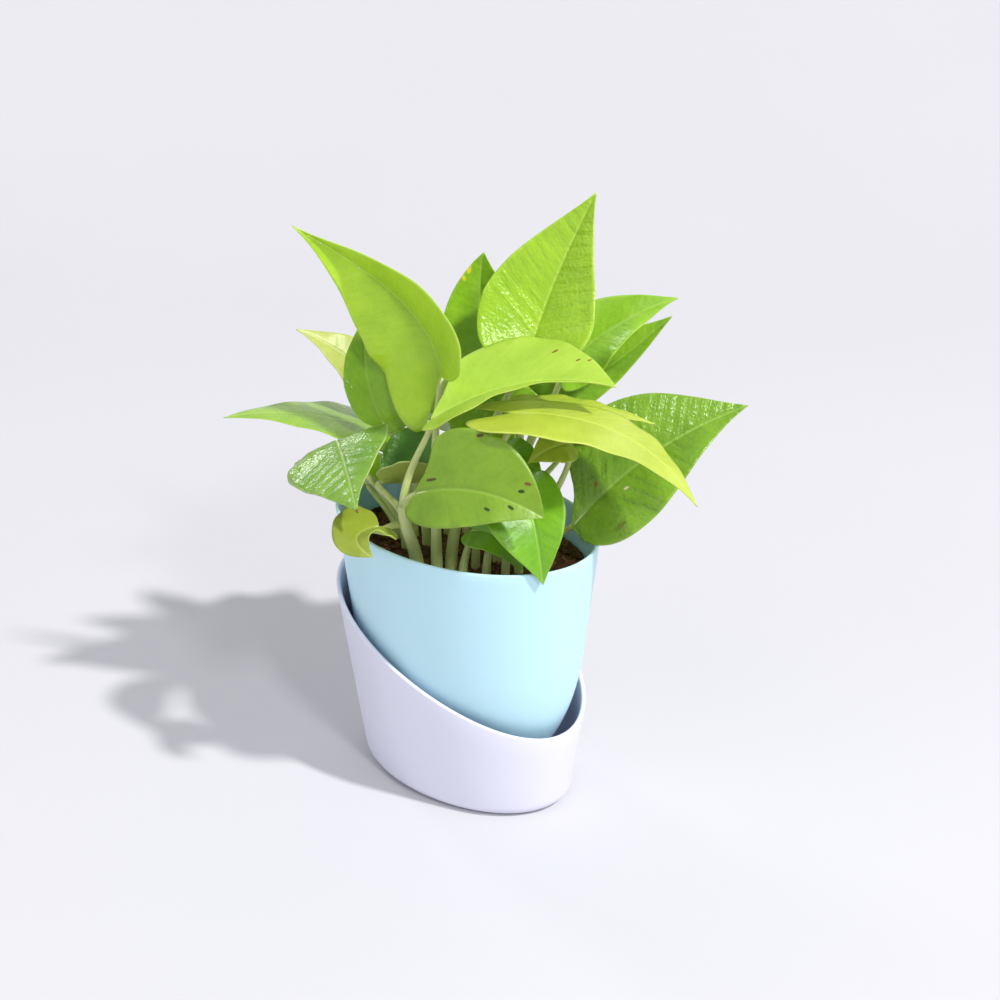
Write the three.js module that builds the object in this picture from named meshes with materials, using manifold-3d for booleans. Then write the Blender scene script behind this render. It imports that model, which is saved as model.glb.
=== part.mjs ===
// A lime-green pothos growing in a two-part oval self-watering pot.
// Millimetres, +Z up. The origin is the middle of the cup's underside and the low lip of the cup faces -Y.
import * as THREE from 'three';
import { mergeVertices } from 'three/addons/utils/BufferGeometryUtils.js';
import Module from 'manifold-3d';

const wasm = await Module();
wasm.setup();

// Both pots are ovals, longer along Y, whose half widths grow evenly with height.
const SIDES = 36;
const OVAL_STRETCH = 20.5;

// White outer cup: half width along X at the foot, flare per mm of height, and its slanted lip.
const CUP_HALF = 39.5;
const CUP_FLARE = 0.14;
const CUP_WALL = 2.2;
const CUP_FLOOR = 3;
const CUP_EDGE = 6;
const CUP_EDGE_IN = 2.4;
const CUP_EDGE_RISE = 1.6;
const LIP_ROUND = 0.7;
const LIP_MIDDLE = 74.5;
const LIP_SLOPE = 0.395;
const LIP_BULGE = 0.0008;

// Light blue inner pot: half width along X at the rim, flare, and its bowl-shaped lower part.
const POT_HEIGHT = 137.5;
const POT_HALF = 51.6;
const POT_FLARE = 0.113;
const POT_WALL = 2;
const RIM_ROUND = 0.6;
const BOWL_TOP = 76;
const BOWL_BOTTOM = 20;
const BOWL_INSET = 24;

// Wicking foot under the inner pot: it stands on the cup's floor and its slots let water in.
const FOOT_HALF = 11;
const FOOT_WALL = 2;
const SLOT_WIDTH = 4;
const SLOT_HEIGHT = 9;
const SLOT_PLACES = [-18, -6, 6, 18];
const GAP = 0.3;

// Potting mix: level top with a rough crumb and chips of coconut husk.
const SOIL_TOP = 120;
const SOIL_ROUGH = 0.8;
const MIX_RINGS = [1.5, 15, 30];
const CHIP_COUNT = 22;
const CHIP_LENGTH = 3.5;
const CHIP_SPREAD = 4;
const CHIP_THICK = 2.6;
const CHIP_RISE = 0.5;
const HOLE_GAP = 0.7;
const HOLE_SPARE = 6;

// Leaves: blade and stalk sizes that all leaves share.
const BLADE = 0.8;
const STALK_SIDES = 6;
const STALK_STEPS = 6;
const STALK_FOOT_RADIUS = 2.1;
const STALK_NECK_RADIUS = 1.2;
const STALK_SHORT = 2.2;
const STALK_BEND = 0.4;
const JOIN_LIFT = 0.5;
const JOIN_AHEAD = 0.3;
const JOIN_REACH = 0.58;
const FOOT_DEPTH = 14;
const LOBE_ROWS = 4;
const SIDE_ROWS = 5;
const BLADE_COLUMNS = [0, 0.5, 1];

// The foliage is laid out facing the viewer, who stands to the left of the pot's low lip.
const FOLIAGE_TURN = -47;

const SLIVER = 0.03;

const deg = THREE.MathUtils.degToRad;

function solidOf(geometry) {
  const bare = geometry.clone();
  bare.deleteAttribute('normal');
  bare.deleteAttribute('uv');
  const merged = mergeVertices(bare, 1e-5);
  return new wasm.Manifold(new wasm.Mesh({
    numProp: 3,
    vertProperties: new Float32Array(merged.attributes.position.array),
    triVerts: new Uint32Array(merged.index.array),
  }));
}

// Thin pieces that are joined leave tiny edges and loose scraps. Edges are closed up and scraps dropped.
function geometryOf(solid) {
  const pieces = solid.simplify(SLIVER).decompose();
  const mesh = pieces.sort((one, other) => other.volume() - one.volume())[0].getMesh();
  const geometry = new THREE.BufferGeometry();
  geometry.setAttribute('position', new THREE.BufferAttribute(new Float32Array(mesh.vertProperties), 3));
  geometry.setIndex(new THREE.BufferAttribute(new Uint32Array(mesh.triVerts), 1));
  geometry.computeVertexNormals();
  return geometry;
}

function indexed(points, triangles) {
  const geometry = new THREE.BufferGeometry();
  geometry.setAttribute('position', new THREE.Float32BufferAttribute(points.flat(), 3));
  geometry.setIndex(triangles);
  return geometry;
}

// A closed body of oval rings. Each ring is a function of the angle, and both ends close on one point.
function ovalBody(bottom, rings, top) {
  const points = [bottom];
  for (const ring of rings) {
    for (let side = 0; side < SIDES; side += 1) points.push(ring((2 * Math.PI * side) / SIDES));
  }
  points.push(top);
  const last = points.length - 1;
  const at = (ring, side) => 1 + ring * SIDES + (side % SIDES);
  const triangles = [];
  for (let side = 0; side < SIDES; side += 1) {
    triangles.push(0, at(0, side + 1), at(0, side));
    for (let ring = 0; ring < rings.length - 1; ring += 1) {
      triangles.push(at(ring, side), at(ring, side + 1), at(ring + 1, side + 1));
      triangles.push(at(ring, side), at(ring + 1, side + 1), at(ring + 1, side));
    }
    triangles.push(last, at(rings.length - 1, side), at(rings.length - 1, side + 1));
  }
  return indexed(points, triangles);
}

function ovalRing(half, height) {
  return (angle) => [half * Math.cos(angle), (half + OVAL_STRETCH) * Math.sin(angle), height];
}

// White outer cup.

function lipHeight(y) {
  return LIP_MIDDLE + LIP_SLOPE * y - LIP_BULGE * y * y;
}

// A ring on the cup's flared wall, inset from its outside, a given way below the slanted lip.
function cupRing(inset, belowLip) {
  return (angle) => {
    let height = LIP_MIDDLE;
    for (let step = 0; step < 6; step += 1) {
      const reach = CUP_HALF + OVAL_STRETCH + CUP_FLARE * height;
      height = lipHeight(reach * Math.sin(angle));
    }
    height -= belowLip;
    const half = CUP_HALF + CUP_FLARE * height - inset;
    return [half * Math.cos(angle), (half + OVAL_STRETCH) * Math.sin(angle), height];
  };
}

function outerCup() {
  const inside = CUP_HALF - CUP_WALL;
  const rings = [
    ovalRing(CUP_HALF - CUP_EDGE, 0),
    ovalRing(CUP_HALF - CUP_EDGE_IN, CUP_EDGE_RISE),
    ovalRing(CUP_HALF + CUP_FLARE * CUP_EDGE, CUP_EDGE),
    cupRing(0, LIP_ROUND),
    cupRing(LIP_ROUND, 0),
    cupRing(CUP_WALL - LIP_ROUND, 0),
    cupRing(CUP_WALL, LIP_ROUND),
    ovalRing(inside + CUP_FLARE * CUP_EDGE, CUP_EDGE + 1),
    ovalRing(inside - CUP_EDGE_IN, CUP_FLOOR + CUP_EDGE_RISE / 2),
    ovalRing(inside - CUP_EDGE, CUP_FLOOR),
  ];
  return ovalBody([0, 0, 0], rings, [0, 0, CUP_FLOOR]);
}

// Light blue inner pot.

function potHalf(height) {
  const straight = POT_HALF - POT_FLARE * (POT_HEIGHT - height);
  if (height >= BOWL_TOP) return straight;
  const drop = (BOWL_TOP - height) / (BOWL_TOP - BOWL_BOTTOM);
  return straight - BOWL_INSET * (1 - Math.sqrt(Math.max(0, 1 - drop * drop)));
}

const BOWL_STEPS = [20, 22.5, 27, 34, 44, 58, 76];

function innerPot() {
  const footTop = BOWL_BOTTOM;
  const footBottom = CUP_FLOOR + GAP;
  const outside = BOWL_STEPS.map((height) => ovalRing(potHalf(height), height));
  const inside = BOWL_STEPS.map((height) => ovalRing(potHalf(height) - POT_WALL, height + POT_WALL));
  const rings = [
    ovalRing(FOOT_HALF - 1, footBottom),
    ovalRing(FOOT_HALF, footBottom + 1),
    ovalRing(FOOT_HALF, footTop - 0.5),
    ...outside,
    ovalRing(POT_HALF, POT_HEIGHT - RIM_ROUND),
    ovalRing(POT_HALF - RIM_ROUND, POT_HEIGHT),
    ovalRing(POT_HALF - POT_WALL + RIM_ROUND, POT_HEIGHT),
    ovalRing(POT_HALF - POT_WALL, POT_HEIGHT - RIM_ROUND),
    ...inside.reverse(),
    ovalRing(FOOT_HALF - FOOT_WALL, footTop + POT_WALL - 0.5),
    ovalRing(FOOT_HALF - FOOT_WALL, footBottom + FOOT_WALL),
  ];
  let pot = solidOf(ovalBody([0, 0, footBottom], rings, [0, 0, footBottom + FOOT_WALL]));
  const slot = new THREE.BoxGeometry(FOOT_HALF * 3, SLOT_WIDTH, SLOT_HEIGHT);
  for (const y of SLOT_PLACES) {
    pot = pot.subtract(solidOf(slot.clone().translate(0, y, footBottom + FOOT_WALL + SLOT_HEIGHT / 2)));
  }
  return geometryOf(pot);
}

// Leaves. Every leaf has a cordate blade with a drawn-out tip on a thin round stalk.

const BLADE_WIDE = 0.22;
const BLADE_LOBE = 0.2;
const BLADE_POINT = 0.17;
const NOTCH = 0.03;
const VEIN_LEAN = 0.55;
const VEIN_CLEAR = 0.01;
const FIRST_ROOT = -0.012;
const ROOT_STEP = 0.02;

// A value given once for both halves of a blade, or as [left, right]. side is -1 for left and 1 for right.
const ofHalf = (value, usual, side) => [value ?? usual].flat().at(side < 0 ? 0 : -1);

// Outline of one half from the notch at its stalk to its tip, as [x in widths, y in lengths].
function halfOutline(leaf, side) {
  const wide = ofHalf(leaf.wide, BLADE_WIDE, side);
  const lobe = ofHalf(leaf.lobe, BLADE_LOBE, side);
  const point = ofHalf(leaf.point, BLADE_POINT, side);
  const lower = new THREE.CubicBezierCurve(
    new THREE.Vector2(0.02, 0), new THREE.Vector2(0.14, -lobe),
    new THREE.Vector2(0.5, -0.5 * lobe), new THREE.Vector2(0.5, wide));
  const upper = new THREE.CubicBezierCurve(
    new THREE.Vector2(0.5, wide), new THREE.Vector2(0.5, wide + 0.24),
    new THREE.Vector2(point, 0.72 + 0.3 * (wide - BLADE_WIDE)), new THREE.Vector2(0, 1));
  return [...lower.getPoints(LOBE_ROWS), ...upper.getPoints(SIDE_ROWS).slice(1)];
}

const vector = (point) => new THREE.Vector3(...point);

const ribOf = (leaf) => new THREE.QuadraticBezierCurve3(vector(leaf.neck), vector(leaf.bend), vector(leaf.tip));

// The way the upper side of a blade looks, square to its midrib.
function faceOf(leaf, ahead) {
  const turn = deg(leaf.face[0]);
  const lift = deg(leaf.face[1]);
  const face = new THREE.Vector3(
    Math.sin(turn) * Math.cos(lift), -Math.cos(turn) * Math.cos(lift), Math.sin(lift));
  return face.addScaledVector(ahead, -face.dot(ahead)).normalize();
}

// One grid of points for each half of the blade, from the midrib to the edge.
function bladeGrid(leaf) {
  const rib = ribOf(leaf);
  const length = rib.getLength();
  const outlines = [1, -1].map((side) => halfOutline(leaf, side));
  const last = outlines[0].length - 1;
  // Side veins leave the midrib a little before the edge point they run to, and each keeps clear of the
  // edge point before it, so that the sheet doesn't double back.
  const roots = [];
  for (let row = 0; row < last; row += 1) {
    const lean = (VEIN_LEAN * leaf.width) / length;
    const mean = outlines.reduce((sum, line) => sum + line[row].y - line[row].x * lean, 0) / 2;
    const clear = outlines.map((line) => {
      const before = line[row - 1];
      if (!before || line[row].x <= before.x) return mean;
      const share = before.x / line[row].x;
      return (before.y - line[row].y * share) / (1 - share) + VEIN_CLEAR;
    });
    const next = row ? roots[row - 1] + ROOT_STEP : FIRST_ROOT;
    roots.push(Math.max(next, mean, ...clear));
  }
  roots.push(1);
  // The bottom of the notch lies alongside the next row.
  for (const line of outlines) {
    line[0] = new THREE.Vector2(NOTCH, roots[0] + ((line[1].y - roots[1]) * NOTCH) / line[1].x);
  }
  return [1, -1].map((side, half) => {
    const width = leaf.width * ((side > 0 ? leaf.right : leaf.left) ?? 1);
    const fold = deg(leaf.fold[side > 0 ? 1 : 0]);
    return outlines[half].map(({ x, y }, row) => BLADE_COLUMNS.map((column) => {
      const along = roots[row] + (y - roots[row]) * column;
      const reach = x * column * width;
      const share = row / last;
      const wave = (leaf.wave ?? 0) * column * column * Math.sin(Math.PI * share)
        * Math.sin(2 * Math.PI * (2 * share + (side < 0 ? 0.5 : 0)));
      const at = THREE.MathUtils.clamp(along, 0, 1);
      const ahead = rib.getTangentAt(at);
      const out = faceOf(leaf, ahead);
      return rib.getPointAt(at)
        .addScaledVector(ahead, Math.min(along, 0) * length)
        .addScaledVector(ahead.clone().cross(out), side * reach * Math.cos(fold))
        .addScaledVector(out, reach * Math.sin(fold) + wave);
    }));
  });
}

// The two halves become one closed sheet, split into triangles alike on both faces, and the stalk grows
// out of the middle of its notch. A stalk has as many sides as that opening has corners.
function leafBody(leaf, curve) {
  const grids = bladeGrid(leaf);
  const points = [];
  const rows = [];
  const rowCount = grids[0].length;
  for (let row = 0; row < rowCount - 1; row += 1) {
    const left = grids[1][row].slice(1).reverse();
    const line = [...left, grids[0][row][0], ...grids[0][row].slice(1)];
    rows.push(line.map((point) => points.push(point) - 1));
  }
  const tip = points.push(grids[0][rowCount - 1][0]) - 1;
  const columns = rows[0].length;
  const middle = (columns - 1) / 2;
  const triangles = [];
  for (let row = 0; row < rows.length - 1; row += 1) {
    for (let column = 0; column < columns - 1; column += 1) {
      const [a, b] = [rows[row][column], rows[row][column + 1]];
      const [c, d] = [rows[row + 1][column + 1], rows[row + 1][column]];
      if (column < middle) triangles.push([a, b, d], [b, c, d]);
      else triangles.push([a, b, c], [a, c, d]);
    }
  }
  for (let column = 0; column < columns - 1; column += 1) {
    const end = rows[rows.length - 1];
    triangles.push([end[column], end[column + 1], tip]);
  }
  const normals = points.map(() => new THREE.Vector3());
  for (const [a, b, c] of triangles) {
    const normal = points[b].clone().sub(points[a]).cross(points[c].clone().sub(points[a]));
    for (const corner of [a, b, c]) normals[corner].add(normal);
  }
  const count = points.length;
  const top = points.map((point, i) => point.clone().addScaledVector(normals[i].normalize(), BLADE / 2));
  const under = points.map((point, i) => point.clone().addScaledVector(normals[i], -BLADE / 2));
  const faces = [];
  for (const [a, b, c] of triangles) faces.push(a, b, c, count + a, count + c, count + b);
  const [left, centre, right] = rows[0].slice(middle - 1, middle + 2);
  const edge = [
    ...rows[0].slice(middle + 1),
    ...rows.slice(1).map((line) => line[columns - 1]),
    tip,
    ...rows.slice(1).reverse().map((line) => line[0]),
    ...rows[0].slice(0, middle),
  ];
  edge.slice(1).forEach((to, i) => {
    const from = edge[i];
    faces.push(from, count + from, count + to, from, count + to, to);
  });
  const notch = [left, count + left, count + centre, count + right, right, centre];
  const ahead = ribOf(leaf).getTangentAt(0);
  const across = ahead.clone().cross(faceOf(leaf, ahead));
  const stalk = stalkRings(curve, leaf.stalk ?? STALK_FOOT_RADIUS, STALK_NECK_RADIUS, across, joinOf(leaf));
  return closed([...top, ...under], faces, notch, stalk);
}

// Rings of a stalk that thins evenly along a curve, from its far end back to its root. across is the way
// that the first corner of the far ring looks out, and join the way that this ring faces.
function stalkRings(curve, startRadius, endRadius, across, join) {
  const steps = STALK_STEPS;
  const rings = [];
  const sideways = across.clone();
  for (let step = steps; step >= 0; step -= 1) {
    const centre = curve.getPointAt(step / steps);
    const ahead = step === steps ? join : curve.getTangentAt(step / steps);
    sideways.addScaledVector(ahead, -sideways.dot(ahead)).normalize();
    const upward = sideways.clone().cross(ahead);
    const radius = THREE.MathUtils.lerp(startRadius, endRadius, step / steps);
    const corners = [];
    for (let side = 0; side < STALK_SIDES; side += 1) {
      const angle = (2 * Math.PI * (side + 2.5)) / STALK_SIDES;
      corners.push(centre.clone()
        .addScaledVector(sideways, radius * Math.cos(angle))
        .addScaledVector(upward, radius * Math.sin(angle)));
    }
    rings.push(corners);
  }
  return { rings, root: curve.getPointAt(0) };
}

// Joins rings to the corners of an opening, one after the other, and closes the last one on the root.
function closed(points, faces, opening, { rings, root }) {
  let from = opening;
  for (const ring of rings) {
    const to = ring.map((corner) => points.push(corner) - 1);
    for (let side = 0; side < STALK_SIDES; side += 1) {
      const next = (side + 1) % STALK_SIDES;
      faces.push(from[side], from[next], to[next], from[side], to[next], to[side]);
    }
    from = to;
  }
  const end = points.push(root) - 1;
  for (let side = 0; side < STALK_SIDES; side += 1) faces.push(from[side], from[(side + 1) % STALK_SIDES], end);
  return solidOf(indexed(points.map((point) => point.toArray()), faces));
}

// The way in which a stalk joins its blade: from the underside and a little from behind.
function joinOf(leaf) {
  const ahead = ribOf(leaf).getTangentAt(0);
  return faceOf(leaf, ahead).multiplyScalar(JOIN_LIFT).addScaledVector(ahead, JOIN_AHEAD).normalize();
}

// A stalk leaves its root upright and ends just short of the blade.
function stalkCurve(leaf) {
  const foot = vector(leaf.foot);
  const neck = vector(leaf.neck);
  const join = joinOf(leaf);
  const reach = foot.distanceTo(neck) * STALK_BEND;
  const leave = foot.clone().add(new THREE.Vector3(0, 0, reach));
  const arrive = leaf.arrive ? vector(leaf.arrive) : neck.clone().addScaledVector(join, -reach * JOIN_REACH);
  return new THREE.CubicBezierCurve3(foot, leave, arrive, neck.addScaledVector(join, -STALK_SHORT));
}

// The stalk of a leaf that rises from the mix: an upright length in its hole, then the curve.
function rootedCurve(foot, curve) {
  const whole = new THREE.CurvePath();
  whole.add(new THREE.LineCurve3(
    new THREE.Vector3(...foot, SOIL_TOP - FOOT_DEPTH), new THREE.Vector3(...foot, SOIL_TOP)));
  whole.add(curve);
  return whole;
}

const STEM_RISE = 18;
const STEM_BEND = 16;
const STEM_TAPER = 0.75;

// The stem of the vine stands in its hole and bends to its end. A small cap closes its upper end.
function stemBody(vine) {
  const end = vector(vine.node);
  const base = new THREE.Vector3(...vine.foot, SOIL_TOP);
  const curve = rootedCurve(vine.foot, new THREE.CubicBezierCurve3(
    base, base.clone().setZ(SOIL_TOP + STEM_RISE), end.clone().setZ(end.z - STEM_BEND), end));
  const upright = new THREE.Vector3(0, 0, 1);
  const stem = stalkRings(curve, vine.stalk, vine.stalk * STEM_TAPER, new THREE.Vector3(1, 0, 0), upright);
  const opening = stem.rings[0].map((_, i) => i);
  const faces = opening.flatMap((side) => [STALK_SIDES, (side + 1) % STALK_SIDES, side]);
  const points = [...stem.rings[0], end];
  return closed(points, faces, opening, { rings: stem.rings.slice(1), root: stem.root });
}

// The thick young vine in front: four leaves on one stem.
function vineSolid(vine) {
  let solid = stemBody(vine);
  for (const leaf of vine.leaves) solid = solid.add(leafBody(leaf, stalkCurve(leaf)));
  return solid;
}

// Where each leaf stands and how it is turned, in millimetres and degrees, facing the viewer:
// x to the right, y away, z up. face is the way its upper side looks: turn to the right, then lift.
// fold lifts the left and the right half of the blade along the midrib.
const LEAVES = [
  {
    name: 'leaf_tall_left', foot: [-13, -28], stalk: 2.9, neck: [-11, -2, 212], bend: [-13, 6, 244],
    tip: [-77, 2, 281],
    arrive: [-15, -24, 196],
    face: [-42, 15], width: 68, fold: [22, 34], left: 0.86, right: 1.2, lobe: [0.5, 0.04],
    wide: [0.22, 0.13], point: [0.13, 0.03], colour: 0xa8de3c,
  },
  {
    name: 'leaf_tall_right', foot: [-6.5, -22], stalk: 3, neck: [30, -2, 221], bend: [38, 16, 247],
    tip: [60, 11, 294],
    face: [-14, 15], width: 66, fold: [18, 24], left: 0.88, right: 0.88, lobe: 0.16,
    arrive: [22, 14, 198], colour: 0x96cd2d,
  },
  {
    name: 'leaf_tall_behind', foot: [0, 18], neck: [10, 32, 206], bend: [5, 40, 238], tip: [9, 35, 258],
    face: [0, 20], width: 42, fold: [20, 20], lobe: 0.4, point: 0.3, colour: 0x4ba532,
  },
  {
    name: 'leaf_right_waved', foot: [15, -13], neck: [47, 12, 209], bend: [68, 12, 234], tip: [98, 2, 247],
    face: [10, 40], width: 52, fold: [-5, 28], left: 0.75, right: 0.64, wave: 3, arrive: [40, 9, 186],
    colour: 0x78b432,
  },
  {
    name: 'leaf_right_dark', foot: [20, 13], neck: [39, 22, 186], bend: [70, 24, 203], tip: [97, 20, 232],
    face: [15, 40], width: 46, fold: [10, 35], right: 0.6, colour: 0x3c820f,
  },
  {
    name: 'leaf_long_yellow', foot: [5, -18], neck: [25, -36, 206], bend: [79, -43, 209],
    tip: [104, -60, 171],
    face: [160, 84], width: 52, fold: [6, -2], left: 0.68, right: 1.2, lobe: 0.42, wide: [0.4, 0.22],
    colour: 0xcde650,
  },
  {
    name: 'leaf_yellow_behind', foot: [25, -24], neck: [27, -9, 200], bend: [62, -13, 201],
    tip: [88, -21, 194],
    arrive: [27, 0, 176],
    face: [180, 88], width: 24, fold: [0, 0], colour: 0xafc837,
  },
  {
    name: 'leaf_left_quilted', foot: [-29, 3], neck: [-60, 0, 177], bend: [-54, -26, 177],
    tip: [-47, -54, 165],
    face: [-66, 72], width: 56, fold: [5, -8], left: 0.9, lobe: [-0.1, 0.1], wide: [0.12, 0.22],
    point: [0.02, 0.17],
    colour: 0x5a9646,
  },
  {
    name: 'leaf_left_level', foot: [-25, 13], neck: [-32, 36, 164], bend: [-78, 28, 186],
    tip: [-115, 16, 182],
    face: [0, 88], width: 54, fold: [0, -6], colour: 0x91be32,
  },
  {
    name: 'leaf_left_inner', foot: [-19, 5], neck: [-36, 6, 179], bend: [-52, 12, 204], tip: [-44, 20, 236],
    face: [-15, 20], width: 54, fold: [12, 12], left: 0.42, right: 0.9, lobe: [-0.15, 0.05],
    wide: [0.4, 0.22],
    colour: 0x78aa28,
  },
  {
    name: 'leaf_left_pale', foot: [-20, 24], neck: [-37, 46, 182], bend: [-59, 50, 205],
    tip: [-82, 48, 215],
    face: [-10, 62], width: 31, fold: [8, 8], arrive: [-24, 54, 170], colour: 0xcddc6e,
  },
  {
    name: 'leaf_hanging', foot: [19, -27], neck: [28, -42, 169], bend: [33, -60, 163], tip: [36, -62, 133],
    arrive: [25, -27, 160],
    face: [5, 15], width: 42, fold: [15, 15], left: 0.75, right: 1.05, lobe: [0.4, 0.1], colour: 0x5fb423,
  },
  {
    name: 'leaf_low_olive', foot: [-1, -30], stalk: 2.3, neck: [4, -30, 145], bend: [19, -38, 149],
    tip: [27, -45, 130],
    face: [0, 50], width: 24, fold: [20, 20], colour: 0x96b432,
  },
  {
    name: 'leaf_large_right', foot: [38, -10], neck: [51, -24, 145], bend: [83, -17, 184],
    tip: [131, -10, 199],
    face: [18, 45], width: 72, fold: [8, 12], left: 0.86, right: 0.7, lobe: [-0.22, 0.05], wide: [0.4, 0.3],
    colour: 0x64a028,
  },
  {
    name: 'leaf_small_glossy', foot: [-6, 9], neck: [6, 6, 179], bend: [-1, 10, 184], tip: [-6, 10, 196],
    face: [0, 30], width: 20, fold: [10, 10], colour: 0x46821e,
  },
  {
    name: 'leaf_middle_dark', foot: [9, 9], neck: [25, 16, 178], bend: [14, 20, 190], tip: [2, 20, 197],
    face: [0, 30], width: 34, fold: [10, 10], colour: 0x286e0a,
  },
  {
    name: 'leaf_middle_green', foot: [10, -31], neck: [18, -20, 175], bend: [25, -24, 181],
    tip: [36, -28, 172],
    face: [0, 60], width: 24, fold: [5, 5], colour: 0x6ea51e,
  },
  {
    name: 'leaf_middle_yellow', foot: [32, -14], neck: [49, -27, 187], bend: [42, -31, 190],
    tip: [29, -35, 181],
    face: [0, 50], width: 20, fold: [5, 5], arrive: [49, -25, 166], colour: 0xafc33c,
  },
  {
    name: 'leaf_back_left', foot: [-11, 28], neck: [-8, 60, 160], bend: [-26, 84, 176],
    tip: [-40, 110, 152],
    face: [190, 60], width: 56, fold: [10, 10], colour: 0x8cbe32,
  },
  {
    name: 'leaf_back_middle', foot: [-1, 30], neck: [4, 50, 172], bend: [6, 77, 190], tip: [2, 108, 166],
    face: [180, 55], width: 60, fold: [12, 12], colour: 0x82b42d,
  },
  {
    name: 'leaf_back_right', foot: [13, 29], neck: [25, 45, 170], bend: [40, 70, 188], tip: [50, 100, 165],
    face: [170, 55], width: 56, fold: [10, 10], colour: 0x78aa28,
  },
  {
    name: 'leaf_back_far_right', foot: [24, 25], neck: [48, 35, 160], bend: [75, 50, 172],
    tip: [100, 62, 150],
    face: [130, 65], width: 52, fold: [10, 10], colour: 0x82b432,
  },
  {
    name: 'leaf_back_far_left', foot: [-33, 14], neck: [-48, 30, 144], bend: [-70, 46, 154],
    tip: [-88, 60, 134],
    face: [215, 60], width: 48, fold: [10, 10], colour: 0x8cb937,
  },
  {
    name: 'leaf_back_low', foot: [5, 37], neck: [5, 56, 142], bend: [8, 74, 150], tip: [12, 96, 130],
    face: [180, 60], width: 44, fold: [10, 10], colour: 0x96c337,
  },
  {
    name: 'leaf_back_upper_left', foot: [-9, 18], neck: [-26, 52, 194], bend: [-38, 68, 212],
    tip: [-50, 84, 216],
    face: [190, 40], width: 46, fold: [12, 12], colour: 0x8cbe32,
  },
  {
    name: 'leaf_back_upper_right', foot: [10, 20], neck: [30, 46, 207], bend: [40, 62, 232],
    tip: [52, 80, 238],
    face: [170, 40], width: 48, fold: [12, 12], colour: 0x8cbe32,
  },
];

const VINE = {
  name: 'leafy_stem_front', foot: [-22, -27], node: [-28, -30, 158], stalk: 3.4, colour: 0x96c841,
  leaves: [
    {
      foot: [-28, -30, 156], neck: [-14, -28, 200], bend: [28, -18, 223], tip: [68, -40, 220],
      face: [10, 74], width: 60, fold: [16, 30], left: 0.88, right: 0.8, lobe: [-0.2, 0.14],
      wide: [0.45, 0.22],
      point: [0.28, 0.17],
    },
    {
      foot: [-28, -29, 151], neck: [-21, -50, 173], bend: [7, -66, 188], tip: [36, -72, 171],
      face: [-5, 32], width: 50, fold: [18, 8], left: 1.1, right: 0.72,
      lobe: [-0.25, 0.2], wide: [0.4, 0.3], point: [0.33, 0.3],
    },
    {
      foot: [-27, -27, 146], neck: [-39, -8, 160], bend: [-20, -4, 157], tip: [2, -14, 166],
      face: [0, 60], width: 52, fold: [35, 75], lobe: [0.05, 0.2], wide: 0.4, point: 0.3,
    },
    {
      foot: [-27, -24, 141], neck: [-39, -40, 152], bend: [-56, -58, 156], tip: [-40, -62, 147],
      face: [-30, 45], width: 30, fold: [8, 8], right: 1.1,
    },
  ],
};

// Potting mix: fills the inner pot and its wicking foot, with a plain hole for every stalk.

function feet() {
  const turn = deg(FOLIAGE_TURN);
  const all = [...LEAVES, VINE].map((plant) => [plant.foot, plant.stalk ?? STALK_FOOT_RADIUS]);
  return all.map(([[x, y], radius]) => ({
    x: x * Math.cos(turn) - y * Math.sin(turn),
    y: x * Math.sin(turn) + y * Math.cos(turn),
    radius,
  }));
}

// A small repeatable generator, so that the crumb and the chips are the same in every build.
function dice(seed) {
  let state = seed;
  return () => {
    state = (state * 16807) % 2147483647;
    return state / 2147483647;
  };
}

function pottingMix() {
  const roll = dice(11);
  const side = POT_WALL + GAP;
  const rings = [
    ovalRing(FOOT_HALF - FOOT_WALL - GAP, CUP_FLOOR + FOOT_WALL + 2 * GAP),
    ovalRing(FOOT_HALF - FOOT_WALL - GAP, BOWL_BOTTOM + POT_WALL),
    ...BOWL_STEPS.slice(1).map((height) => ovalRing(potHalf(height) - side, height + POT_WALL + GAP)),
    ovalRing(potHalf(SOIL_TOP) - side, SOIL_TOP - 1),
  ];
  for (const inset of MIX_RINGS) {
    const half = potHalf(SOIL_TOP) - side - inset;
    const rough = Array.from({ length: SIDES }, () => SOIL_ROUGH * (roll() - 0.5));
    rings.push((angle) => {
      const [x, y] = ovalRing(half, 0)(angle);
      return [x, y, SOIL_TOP + rough[Math.round((angle * SIDES) / (2 * Math.PI)) % SIDES]];
    });
  }
  let mix = solidOf(ovalBody([0, 0, CUP_FLOOR + FOOT_WALL + 2 * GAP], rings, [0, 0, SOIL_TOP]));
  const stalks = feet();
  const clear = (x, y, reach) => stalks.every((s) => Math.hypot(s.x - x, s.y - y) > s.radius + reach);
  let chips = 0;
  while (chips < CHIP_COUNT) {
    const angle = roll() * 2 * Math.PI;
    const share = Math.sqrt(roll()) * 0.86;
    const [x, y] = ovalRing(potHalf(SOIL_TOP) - side, 0)(angle).map((value) => value * share);
    const size = CHIP_LENGTH + CHIP_SPREAD * roll();
    const spin = roll() * Math.PI;
    const tilt = (roll() - 0.5) * 0.5;
    if (!clear(x, y, 0.65 * size + 0.8)) continue;
    const chip = new THREE.BoxGeometry(size, size * 0.6, CHIP_THICK).rotateX(tilt).rotateZ(spin)
      .translate(x, y, SOIL_TOP + CHIP_RISE);
    mix = mix.add(solidOf(chip));
    chips += 1;
  }
  for (const { x, y, radius } of stalks) {
    const deep = FOOT_DEPTH + HOLE_SPARE;
    const hole = new THREE.CylinderGeometry(radius + HOLE_GAP, radius + HOLE_GAP, deep, STALK_SIDES);
    hole.rotateX(Math.PI / 2).translate(x, y, SOIL_TOP - FOOT_DEPTH - GAP + deep / 2);
    mix = mix.subtract(solidOf(hole));
  }
  return geometryOf(mix);
}

// Finishes.

function finish(colour, roughness) {
  return new THREE.MeshStandardMaterial({ color: colour, roughness, metalness: 0 });
}

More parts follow.
